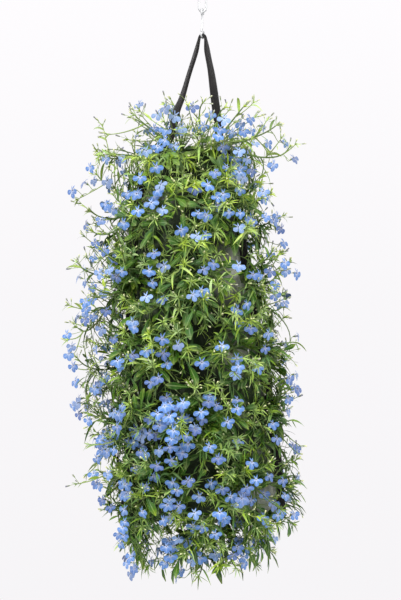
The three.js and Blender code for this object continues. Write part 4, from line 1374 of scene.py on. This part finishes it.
def clear_leaves(leaves, blooms):
    """Leaves out whose outer half would stand in a bloom, the pouch or the webbing."""
    if not leaves:
        return []
    root, heading, length = field(leaves, "root"), field(leaves, "heading"), field(leaves, "length")
    reach = heading * length[:, None]
    fall = UP * (length * field(leaves, "droop"))[:, None]
    good = np.ones(len(leaves), dtype=bool)
    facings = field(blooms, "facing")
    centres = field(blooms, "centre") + facings
    for share in (0.35, 0.65, 1.0):
        at = root + reach * share - fall * share ** 2
        depth, radial = beside_blooms(at, centres, facings)
        in_bloom = (radial < PETALS["radius"]) & (depth < PETALS["depth"])
        beside = (at[:, 2] < RIM + 2) & (at[:, 2] > WELD - 2)
        in_mouth = (at[:, 2] > COMPOST_TOP + 4) & (pouch_share(at, -4) < 1)
        good &= ~in_bloom.any(axis=1) & (off_strap(at) > 1)
        good &= ~(beside & (pouch_share(at, 1.5) < 1)) | in_mouth
    return [leaf for leaf, fits in zip(leaves, good) if fits]


def over_bare_film(leaf):
    """Whether a leaf would hide one of the places where the film shows, or much of the strap's legs."""
    for at in leaf_points(leaf, (0.4, 0.7, 1)):
        if on_bare_film(at):
            return True
        if LEGS["bottom"] < at[2] < LEGS["top"]:
            legs = STRAP_POINTS[np.abs(STRAP_POINTS[:, 2] - at[2]) < LEGS["beside"]]
            if len(legs) and np.abs(legs[:, 0] - at[0]).min() < LEGS["clear"]:
                return True
    return False


def tip_of(shoot):
    return point_on(shoot["curve"], 1), shoot["heading"], shoot["star"]


def grow_leaves(number, plant, all_blooms):
    """Every leaf of one plant, and its shoots' tips."""
    draw = seeded(11000 + number)
    leaves = basal_leaves(plant["site"], draw)
    for stem in plant["stems"]:
        leaves += leaves_along(stem, 14, 0.95, 0.2, draw)
        leaves += [source_leaf(leaf, draw) for node in stem["nodes"] for leaf in node["leaves"]]
    for shoot in plant["shoots"]:
        leaves += leaves_along(shoot, 6, shoot["age"], shoot["age"] * 0.25, draw)
    plant["tips"] = [tip_of(shoot) for shoot in plant["stems"] + plant["shoots"]]
    for tip in plant["tips"]:
        leaves += rosette(*tip, draw)
    leaves = [leaf for leaf in leaves if leaf["tone"] > 0.9 or not over_bare_film(leaf)]
    plant["leaves"] = clear_leaves(leaves, all_blooms)


def beside_film(points):
    """The places on the film that lie behind points, seen square to it."""
    x, a, b = sections(points[:, 2])
    azimuth = np.arctan2((points[:, 0] - x) / a, -points[:, 1] / b)
    return np.stack([x + a * np.sin(azimuth), -b * np.cos(azimuth), points[:, 2]], axis=1)


def cover_film(plants, all_blooms):
    """Broad old leaves over the places where the film would be seen, but for a few."""
    draw = seeded(10500)
    hidden, starts, owners = [bloom["centre"] for bloom in all_blooms], [], []
    for plant in plants:
        for leaf in plant["leaves"]:
            hidden += leaf_points(leaf, (0.3, 0.6, 0.9) if leaf["width"] > NARROW else (0.6,))
        for shoot in plant["stems"] + plant["shoots"]:
            starts += list(shoot["curve"](np.array([0.1, 0.25, 0.4, 0.55, 0.7])))
        owners += [plant] * (len(starts) - len(owners))
    hidden, starts = np.array(hidden), np.array(starts)
    on_film = beside_film(hidden)
    hidden = on_film[norms(hidden - on_film) < COVER["low"]]
    for z in np.arange(RIM - 8, POUCH[-2][0] - 6, -COVER["apart"]):
        _, _, a, b = station(POUCH, z)
        count = int(FULL_TURN * math.sqrt((a * a + b * b) / 2) / COVER["apart"])
        for place in range(count):
            azimuth = FULL_TURN * (place + draw()) / count
            spot = pouch_point(z + draw(-3, 3), azimuth)
            bare = on_bare_film(spot) or spot[1] < 0 and draw() < thinness(spot)
            if bare or (norms(hidden - spot) < COVER["near"]).sum() > COVER["enough"]:
                continue
            for lift in (3, 6, 9, 13):
                target = spot + outward(spot) * (lift + draw(0, 3))
                gaps = norms(starts - target)
                effort = gaps + np.maximum(0, target[2] - starts[:, 2])
                choice = int(np.argmin(np.where(gaps > 9, effort, math.inf)))
                if gaps[choice] > COVER["reach"]:
                    continue
                root = starts[choice]
                length = max(16, gaps[choice] * draw(1.15, 1.4))
                width = min(13, length * draw(0.3, 0.42))
                leaf = leaf_at(root, unit(target - root), length, width, draw(0.65, 1), draw, 1)
                lay_flat(leaf, outward(spot), 0.4, 0.15, draw)
                if clear_leaves([leaf], all_blooms):
                    owners[choice]["leaves"].append(leaf)
                    line = [root + leaf["heading"] * (length * share) for share in (0.4, 0.7, 1)]
                    hidden = np.vstack([hidden, beside_film(np.array(line))])
                    break


# ---------------------------------------------------------------- dressing one plant

# The woody crown's rings: depth, half width and half height.
CROWN_RINGS = [
    (CROWN["inner"], 5.6, 8.4), (0, 5.6, 8.4), (CROWN["rim"], 5.4, 8.1), (5, 3.9, 5.2),
    (CROWN["shoulder"], 2.7, 2.9), (CROWN["tip"] - 1, 1.4, 1.5), (CROWN["tip"], 0.1, 0.1),
]
CROWN_SIDES = 16
# Material slots of a plant's pieces, and the radius of a flower's stalk at its root and its end.
MAIN, STALK, BUDS = 0, 1, 2
PEDICEL_RADII, BUD_STALK = (0.42, 0.36), 0.28


def crown_skin(site):
    """The woody crown that fills a slit, ring by ring as corners of a lozenge and points between."""
    c, s = np.cos(even_turns(CROWN_SIDES)), np.sin(even_turns(CROWN_SIDES))
    squash = 1 / (abs(c) + abs(s)) ** 0.8
    rings = [
        out_from(site, depth)
        + np.outer(wide * c * squash, site["wide"]) + np.outer(high * s * squash, site["high"])
        for depth, wide, high in CROWN_RINGS
    ]
    return rings, grid_faces(len(rings), CROWN_SIDES, True)


def add_shoots(pile, shoots, thick, thin, steps, sides, age, tone):
    paths = [shoot["curve"](np.linspace(0, 1, steps)) for shoot in shoots]
    add_tubes(pile, paths, np.linspace(thick, thin, steps), sides, STALK, age, tone)


def add_blooms(pile, blooms, stamps, draw):
    """Blooms on their bowed stalks, each turned a little to its own side, with its calyx."""
    stalks, axes = [], []
    for bloom in blooms:
        facing = unit(bloom["facing"] + bloom["right"] * draw(-0.4, 0.4) + bloom["up"] * draw(-0.4, 0.4))
        facing = unit(facing - vec(0, 0.7, 0) * max(0, 1 - abs(facing[1])))
        length = length_of(bloom["base"] - bloom["root"])
        end = bloom["centre"] - facing * (BLOOM["tube"] + 2.2)
        leave = bloom["root"] + bloom["stalk"] * (length * 0.45)
        arrive = end - unit(facing + UP * 0.4) * (length * 0.3)
        stalks.append(bezier(bloom["root"], leave, arrive, end)(np.linspace(0, 1, 7)))
        spin = turned(square_to(facing, bloom["up"]), facing, draw(-0.35, 0.35))
        axes.append(np.stack([cross(spin, facing), spin, facing]))
    axes, centres, count = np.array(axes), field(blooms, "centre"), len(blooms)
    add_tubes(pile, stalks, np.linspace(*PEDICEL_RADII, 7), 4, STALK, 0.35, draws(draw, count))
    base = centres - axes[:, 2] * BLOOM["tube"]
    add_stamps(pile, stamps["calyx"], axes, base, draws(draw, count, 0.85, 1.15), STALK, 0.5, 0.3)
    kinds = draws(draw, count, 0, len(stamps["blooms"])).astype(int) % len(stamps["blooms"])
    sizes, tones = draws(draw, count, 0.92, 1.14), draws(draw, count)
    # Blooms near the top get a paler colour: painted light from above, added to their fading with age.
    high = np.array([1 - smoothstep(-at[2], 180, 290) for at in centres])
    ages = np.minimum(1, draws(draw, count) ** 2 + 0.4 * high)
    for kind, stamp in enumerate(stamps["blooms"]):
        pick = kinds == kind
        if pick.any():
            add_stamps(pile, stamp, axes[pick], centres[pick], sizes[pick], MAIN, tones[pick], ages[pick])


def add_buds(pile, tips, draw):
    """Buds on thin stalks round each tip, riper the further out they stand, and unripe ones close in."""
    roots, ends, ripeness = [], [], []
    for tip, heading, star in tips:
        open_air = airy(tip)
        for _ in range(int(draw(1.5 * open_air, star - 5.2))):
            away = unit(heading * draw(0.3, 1.2) + vec(draw(-1, 1), draw(-1, 1), draw(-0.4, 0.8)))
            reach = draw(3, 10) * (1 + 0.3 * open_air)
            if within_reach(tip + away * (reach + 5), 5):
                roots.append(tip - heading * draw(0, 3))
                ends.append(tip + away * reach)
                ripeness.append(reach / 13)
        for _ in range(int(draw(0, 1.6))):
            away = unit(heading * 0.6 + outward(tip) + vec(draw(-1, 1), draw(-1, 1), draw(-0.2, 1)))
            roots.append(tip)
            ends.append(tip + away * draw(2.5, 6))
            ripeness.append(0)
    if roots:
        roots, ends, ripeness = np.array(roots), np.array(ends), np.array(ripeness)
        paths = bezier(roots, (roots + ends) / 2 + UP * 0.6, ends)(np.linspace(0, 1, 4)[:, None])
        add_tubes(pile, paths.transpose(1, 0, 2), np.full(4, BUD_STALK), 3, STALK, 0.15, 0.6)
        ahead = units(ends - roots)
        axes = frames(ahead, np.where(np.abs(ahead[:, 2:]) > 0.9, vec(1, 0, 0), UP))
        ages = np.clip(ripeness * 1.7 - 0.75 + draws(draw, len(ends), -0.3, 0.3), 0, 1)
        sizes = np.where(ripeness > 0, 0.6 + 0.5 * ripeness, 1.05)
        add_stamps(pile, BUD, axes, ends, sizes, BUDS, draws(draw, len(ends)), ages)


def dress_plant(number, plant, stamps):
    """Builds one plant's two pieces: its stems and leaves, and its blooms and buds."""
    draw, leaves, shoots = seeded(12000 + number), plant["leaves"], plant["shoots"]
    green, bright = Pile(), Pile()
    tones = draws(draw, len(plant["stems"]))
    add_shoots(green, plant["stems"], STEM["root"], STEM["tip"] - 0.1, 20, 6, 0.75, tones)
    if shoots:
        add_shoots(green, shoots, TWIG["root"], TWIG["tip"], 8, 4, field(shoots, "age") * 0.8, 0.5)
    green.add(*crown_skin(plant["site"]), STALK, age=0.95, tone=0.4)
    add_blades(green, [leaf for leaf in leaves if leaf["width"] < NARROW], 3)
    add_blades(green, [leaf for leaf in leaves if leaf["width"] >= NARROW and not leaf["broad"]], 5)
    add_blades(green, [leaf for leaf in leaves if leaf["broad"]], 5, 0.14)
    if plant["blooms"]:
        add_blooms(bright, plant["blooms"], stamps, draw)
    add_buds(bright, plant["tips"], draw)
    name = f"{number + 1:02d}"
    foliage = green.build("foliage_" + name, [MATERIALS["leaf"], MATERIALS["stalk"]])
    petals = bright.build("blooms_" + name, [MATERIALS["petal"], MATERIALS["stalk"], MATERIALS["bud"]])
    for piece, slot in ((foliage, "foliage"), (petals, "petals")):
        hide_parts("plant_" + name)


# ---------------------------------------------------------------- pouch and compost

FILM_GRID = (96, 130)
# A slit's opening, in its own half sizes: points within inner are cut, those out to outer are moved.
FILM_SLIT = dict(inner=0.85, outer=2.4, push=1.4)
COMPOST_BASE = -629.6
CRUMBS = 190
# The rings of the compost's top: the share of the way out and the height over its edge.
COMPOST_MOUND = ((0.02, 4.6), (0.25, 4.4), (0.5, 3.9), (0.75, 2.4), (0.93, 0.8))


def opened_slits(z, azimuth, sites):
    """Moves the film's points off the slits. Says which points lie in one and how near its lip each is."""
    cut, lip = np.zeros(len(z), dtype=bool), np.zeros(len(z))
    inner, outer, push = [FILM_SLIT[key] for key in ("inner", "outer", "push")]
    for site in sites:
        if site["slit"]:
            level = site["at"][2]
            _, x, a, b = station(POUCH, level)
            centre = math.atan2((site["at"][0] - x) / a, -site["at"][1] / b)
            scale = math.hypot(a * math.cos(centre), b * math.sin(centre)) / SLIT["half_width"]
            wide = ((azimuth - centre + math.pi) % FULL_TURN - math.pi) * scale
            high = (z - level) / SLIT["half_height"]
            ring = np.abs(wide) + np.abs(high)
            near = ring < outer
            opened = 1 + np.maximum(ring - inner, 0) * push / (outer - inner)
            factor = opened / np.maximum(ring, 0.05)
            azimuth = np.where(near, centre + wide * factor / scale, azimuth)
            z = np.where(near, level + high * factor * SLIT["half_height"], z)
            cut |= ring < inner
            lip = np.where(near, np.maximum(lip, 1 - (opened - 1) / 0.9), lip)
    return z, azimuth, cut, np.clip(lip, 0, 1)


def puckers_at(point):
    """How far the film's folds and creases stand out at a point."""
    at = Vector(point)
    broad = noise.noise(at * 0.021)
    folds = 1 - abs(noise.noise(at * Vector((0.05, 0.05, 0.018)))) * 3.2
    creases = 1 - abs(noise.noise(at * 0.085 + Vector((7, 3, 5)))) * 3.2
    fine = 1 - abs(noise.noise(at * 0.19)) * 3
    return 2.6 * broad + 1.7 * folds + 1.0 * creases + 0.4 * fine


def milky_lit_patches(points):
    """How cloudy the film is at each point: most in the middle of the patches that show, where its lighter
    colour is partly painted light falling on the bare film.
    """
    milky_and_lit = np.zeros(len(points))
    for low, high, base, top in BARE_FILM:
        wide = (points[:, 0] - (low + high) / 2) / (high - low)
        tall = (points[:, 2] - (base + top) / 2) / (top - base)
        patch = np.exp(-1.4 * (wide ** 2 + tall ** 2))
        milky_and_lit = np.maximum(milky_and_lit, np.where(points[:, 1] < 0, patch, 0))
    return milky_and_lit


def film_pouch(sites):
    """The film as a crinkled tube, opened at the slits and closed at the bottom weld."""
    rows, columns = FILM_GRID
    levels = np.append(np.linspace(RIM, WELD, rows - 1), WELD - 3)
    z, azimuth = [grid.ravel() for grid in np.meshgrid(levels, even_turns(columns, 0.5), indexing="ij")]
    z, azimuth, cut, lip = opened_slits(z, azimuth, sites)
    x, a, b = sections(z)
    weld = z < WELD - 2
    a, b = np.where(weld, a - 0.5, a), np.where(weld, 0.4, b)
    points = np.stack([x + a * np.sin(azimuth), -b * np.cos(azimuth), z], axis=1)
    normal = units(np.stack([np.sin(azimuth) / a, -np.cos(azimuth) / b, 0 * z], axis=1))
    off_seams = np.clip(np.abs(np.cos(azimuth)) * 2.2 - 0.25, 0, 1) * np.clip((z - WELD) / 25, 0, 1)
    puckers = np.clip([puckers_at(point) for point in points], -0.7, 4.2)
    points = points + normal * (puckers * off_seams + lip ** 2 * 1.6)[:, None]
    faces = grid_faces(rows, columns, True)
    film = Pile()
    # Tone follows the puckers, as painted shade in the creases and painted light on the folds.
    film.add(
        points, faces[~cut[faces].all(axis=1)], tone=np.clip(0.35 + puckers * 0.16, 0, 1),
        age=milky_lit_patches(points),
    )
    heights = np.linspace(RIM - 2, STRAP_BOTTOM, 60)
    x, a, _ = sections(heights)
    for side in (-1, 1):
        edges = [np.stack([x + side * (a + out), 0 * x, heights], axis=1) for out in (-0.6, 2.2)]
        film.add(np.stack(edges, axis=1), grid_faces(60, 2), tone=0.4, age=0)
    hem = np.concatenate([points[:columns], points[:2]])[None]
    add_tubes(film, hem, np.full(columns + 2, 1.0), 8, tone=0.5, age=0)
    piece = film.build("pouch_film", [MATERIALS["film"]])
    shell = piece.modifiers.new("film", "SOLIDIFY")
    shell.thickness = 0.25 * METRE
    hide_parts("pouch")


def compost_fill():
    """The compost with a mound of crumbs at the pouch's mouth."""
    columns, inset = 60, FILM + GAP + 0.3
    middle = vec(station(POUCH, COMPOST_TOP)[1], 0, COMPOST_TOP)
    edges = [
        np.array([pouch_point(level, angle, inset) for angle in even_turns(columns)])
        for level in np.linspace(COMPOST_TOP, COMPOST_BASE, 36)
    ]
    rings = []
    for share, rise in COMPOST_MOUND:
        ring = middle + (edges[0] - middle) * share + UP * rise
        ring[:, 2] += [1.4 * noise.noise(Vector(point) * 0.16) for point in ring]
        rings.append(ring)
    rings += edges
    fill = Pile()
    fill.add(np.concatenate(rings), grid_faces(len(rings), columns, True), tone=0.4)
    draw = seeded(77)
    crumb = turned_profile([(0.1, 0.75, 0), (0.7, 0.45, 0), (1, 0, 0), (0.1, -0.6, 0)], 6)
    for _ in range(CRUMBS):
        share, angle = math.sqrt(draw(0, 0.86)), draw(0, FULL_TURN)
        spot = pouch_point(COMPOST_TOP, angle, inset)
        at = middle + (spot - middle) * share + UP * (4.6 - 4 * share ** 2)
        axes = frames(vec(draw(-1, 1), draw(-1, 1), 1)[None], vec(1, 0, 0)[None])
        add_stamps(fill, crumb, axes, at[None], draw(0.7, 2.6), tone=draw())
    piece = fill.build("compost_fill", [MATERIALS["compost"]])
    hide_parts("compost")


# ---------------------------------------------------------------- strap, hook and link

def smooth_line(points, step):
    """The same line through the points, rounded between them, in even steps."""
    points = np.asarray(points, dtype=float)
    padded = np.vstack([2 * points[0] - points[1], points, 2 * points[-1] - points[-2]])
    line = []
    for k in range(1, len(padded) - 2):
        before, start, end, after = padded[k - 1:k + 3]
        reach = norms((end - start)[:3])
        count = max(2, int(round(reach / step)))
        left = (end - before) * reach / (reach + max(norms((start - before)[:3]), 1e-6))
        right = (after - start) * reach / (reach + max(norms((after - end)[:3]), 1e-6))
        for t in np.arange(count) / count:
            line.append(
                start * (2 * t ** 3 - 3 * t * t + 1) + left * (t ** 3 - 2 * t * t + t)
                + end * (3 * t * t - 2 * t ** 3) + right * (t ** 3 - t * t)
            )
    return np.array(line + [points[-1]])


# One half of the folded webbing's outline, from the fold to the open edge where the film goes in.
FOLD = [
    (1.0, 0.0), (0.96, 0.55), (0.82, 0.93), (0.45, 1.0), (-0.1, 0.97), (-0.6, 1.0), (-0.93, 0.96),
    (-1.0, 0.7), (-1.0, 0.3), (-0.9, 0.14), (-0.5, 0.09),
]
# Below the hook each leg turns partly flat at once, and the rest of the way between two heights. The
# left leg (-1) stays more edge-on than the right one (1).
TURN_AT_HOOK = (62, 86)
TURN_ON_SIDE = {-1: (0.32, 110, 195), 1: (0.5, 90, 150)}
STITCH = [(0.04, 1.7, 1), (0.32, 1.3, 0.85), (0.36, 0, 0.5), (0.32, -1.3, 0.15), (0.04, -1.7, 0)]
STITCH_STEP = 5.2


def webbing_strap():
    """The folded webbing over the hook and down both seams, with a row of stitches on each face."""
    path, turns = strap_stations()
    line = smooth_line(np.column_stack([np.array(path), turns]), 3.4)
    at, turn = line[:, :3], np.clip(line[:, 3], 0, 1)
    for side, (first, low, high) in TURN_ON_SIDE.items():
        leg = (at[:, 0] - at[np.argmax(at[:, 2]), 0]) * side > 3
        turn[leg] = [
            first * smoothstep(-z, *TURN_AT_HOOK) + (1 - first) * smoothstep(-z, low, high)
            for z in at[leg, 2]
        ]
    ahead = units(np.gradient(at, axis=0))
    flat = np.cross(ahead, vec(0, 1, 0))
    side = vec(0, 1, 0) * np.cos(turn * math.pi / 2)[:, None] + flat * np.sin(turn * math.pi / 2)[:, None]
    side = units(side - ahead * np.sum(side * ahead, axis=1, keepdims=True))
    rise = np.cross(ahead, side)
    half = lerp(STRAP["hook_width"], STRAP["seam_width"], np.sqrt(turn)) / 2
    thick = lerp(STRAP["hook_thick"], STRAP["seam_thick"], turn) / 2
    outline = np.array(FOLD + [(u, -v) for u, v in FOLD[:0:-1]])
    u, v = half[:, None] * outline[:, 0], thick[:, None] * outline[:, 1]
    skin = at[:, None] + side[:, None] * u[..., None] + rise[:, None] * v[..., None]
    travel = np.concatenate([[0], np.cumsum(norms(np.diff(at, axis=0)))])
    round_about = np.cumsum(np.hypot(*(np.diff(outline, axis=0, append=outline[:1]) * (5, 1.5)).T))
    band, count = Pile(), len(outline)
    ends = [list(range(count))[::-1], [len(at) * count - count + k for k in range(count)]]
    band.add(
        skin, [grid_faces(len(at), count, True), np.array(ends)], along=np.repeat(travel, count),
        across=np.tile(round_about, len(at)),
    )
    piece = band.build("strap_webbing", [MATERIALS["webbing"]])
    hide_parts("strap")

    marks = np.interp(np.arange(3, travel[-1] - 3, STITCH_STEP), travel, np.arange(len(at)))
    marks = np.round(marks).astype(int)
    marks = marks[turn[marks] > 0.97]
    axes = frames(ahead[marks], rise[marks])
    row = at[marks] - side[marks] * (half[marks] * 0.42)[:, None]
    stitches = Pile()
    for face in (-1, 1):
        origins = row + rise[marks] * (thick[marks] * face)[:, None]
        add_stamps(stitches, turned_profile(STITCH, 5), axes, origins, 1.0)
    piece = stitches.build("seam_stitches", [MATERIALS["thread"]])


def wire_piece(name, node, path, radius, closed):
    """A round wire along a path, its ends rounded off unless it closes on itself."""
    path = np.array(path)
    radii = np.full(len(path), radius)
    if not closed:
        radii[0] = radii[-1] = radius * 0.15
        radii[1] = radii[-2] = radius * 0.8
    wire = Pile()
    add_tubes(wire, path[None], radii, 16)
    piece = wire.build(name, [MATERIALS["steel"]])
    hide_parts(node)


def hanging_wires():
    """The closed link, and below it the hook with an eye at each end."""
    half = LINK["half_width"]
    path = []
    for centre, start in ((LINK["top"] - half, 0), (LINK["bottom"] + half, math.pi)):
        for angle in np.linspace(start, start + math.pi, 25):
            path.append(vec(half * math.cos(angle), 0, centre + half * math.sin(angle)))
    rise = vec(0, 0, 2)
    path = [path[0] - rise] + path + [path[0] - rise, path[0]]
    wire_piece("link_wire", "hanging_link", path, LINK["wire"], True)

    turn = math.radians(HOOK["azimuth"])
    place = vec(math.cos(turn), math.sin(turn), 0)
    opening = 270 - HOOK_EYE["degrees"] / 2

    def eye(centre, radius, start):
        sweep = np.radians(start + np.linspace(0, HOOK_EYE["degrees"], 37))
        return [
            place * (radius * math.cos(angle)) + UP * (centre + radius * math.sin(angle)) for angle in sweep
        ]

    upper = eye(HOOK["upper_centre"], HOOK["upper"], opening - 180)
    lower = eye(HOOK["lower_centre"], HOOK["lower"], opening)
    shank = bezier(
        upper[-1], UP * (HOOK["upper_centre"] - HOOK["upper"] * HOOK_EYE["neck"]),
        UP * (HOOK["lower_centre"] + HOOK["lower"] * HOOK_EYE["neck"]), lower[0],
    )
    path = upper + list(shank(np.linspace(0.06, 0.94, 16))) + lower
    wire_piece("hook_wire", "s_hook", path, HOOK["wire"], False)


# ---------------------------------------------------------------- the object

MATERIALS = dict(
    leaf=leaf_look(), stalk=stalk_look(), petal=petal_look(), bud=bud_look(), film=film_look(),
    compost=compost_look(), webbing=webbing_look(), thread=thread_look(), steel=steel_look(),
)
STRAP_POINTS = smooth_line(np.array(strap_stations()[0]), 6)

space = Room()
plant_places = plant_sites()
all_plants = grow_plants(space, plant_places)
grow_finer(space, all_plants)
variety = seeded(501)
bloom_stamps = dict(blooms=[bloom_stamp(variety) for _ in range(7)], calyx=calyx_stamp())
every_bloom = [bloom for plant in all_plants for bloom in plant["blooms"]]
for plant_number, one_plant in enumerate(all_plants):
    grow_leaves(plant_number, one_plant, every_bloom)
cover_film(all_plants, every_bloom)
for plant_number, one_plant in enumerate(all_plants):
    dress_plant(plant_number, one_plant, bloom_stamps)
film_pouch(plant_places)
compost_fill()
webbing_strap()
hanging_wires()


# ---------------------------------------------------------------- floor, light and camera

FLOOR = -1.3
FLOOR_RINGS = ((0.02, 0), (1.2, 0), (3.3, 0), (3.32, -0.02))
FLOOR_SIDES = 96
# How bright the studio is from straight below (0) through the height of the lens (0.5) to straight above.
SKY = (
    (0.0, 0.24), (0.33, 0.38), (0.40, 0.915), (0.5, 0.945), (0.57, 0.993), (0.64, 0.95), (0.72, 0.4),
    (1.0, 0.3),
)
# Each soft light's place, the place it faces, its width and its power.
LIGHTS = dict(
    key=((-1.1, -1.8, 1.15), (0, 0, -0.3), 1.4, 46),
    fill=((2.3, -1.7, 0.4), (0, 0, -0.36), 2.2, 27),
    top=((0.1, -0.2, 2.2), (0, 0, -0.4), 1.6, 24),
)


def studio_floor():
    """A round pale floor, low enough to stay out of the level view."""
    look = Look("floor_paper", Specular_IOR_Level=0.1)
    paper = look.tinted((0.86, 0.86, 0.87), look.grain(1.3, 0.985, 1.0))
    points = [
        (radius * math.cos(angle), radius * math.sin(angle), FLOOR + drop)
        for radius, drop in FLOOR_RINGS for angle in even_turns(FLOOR_SIDES)
    ]
    faces = grid_faces(len(FLOOR_RINGS), FLOOR_SIDES, True).tolist() + [list(range(FLOOR_SIDES))]
    mesh = bpy.data.meshes.new("studio_floor")
    mesh.from_pydata(points, [], faces)
    mesh.materials.append(look.finished(paper, 0.9))
    floor = scene_object("studio_floor", mesh)


def studio_world():
    """Pale all round: brightest at the height of the lens, softer above and below."""
    world = bpy.data.worlds.new("studio")
    world.use_nodes = True
    nodes = Nodes(world.node_tree)
    way = nodes.add("ShaderNodeTexCoord", "Generated")
    height = nodes.add("ShaderNodeSeparateXYZ", "Z", {0: way}).span(-1, 1, 0, 1)
    sky = height.ramp(*[(at, (level, level * 0.985, level * 1.005)) for at, level in SKY])
    nodes.feed(world.node_tree.nodes["Background"].inputs["Color"], sky)
    bpy.context.scene.world = world


def soft_lights():
    for name, (at, towards, size, power) in LIGHTS.items():
        light = bpy.data.lights.new(name, "AREA")
        light.shape, light.size, light.energy = "SQUARE", size, power
        lamp = scene_object(name, light)
        lamp.location = at
        lamp.rotation_euler = (Vector(towards) - Vector(at)).to_track_quat("-Z", "Y").to_euler()


def studio_camera():
    """A long lens level with the middle of the plant."""
    lens = bpy.data.cameras.new("camera")
    lens.lens, lens.sensor_width, lens.clip_end = 130, 36, 60
    camera = scene_object("camera", lens)
    camera.location = (-0.0024, -2.6, -0.382)
    camera.rotation_euler = (math.pi / 2, 0, 0)
    bpy.context.scene.camera = camera


studio_floor()
studio_world()
soft_lights()
studio_camera()
bpy.context.scene.view_settings.view_transform = "Standard"
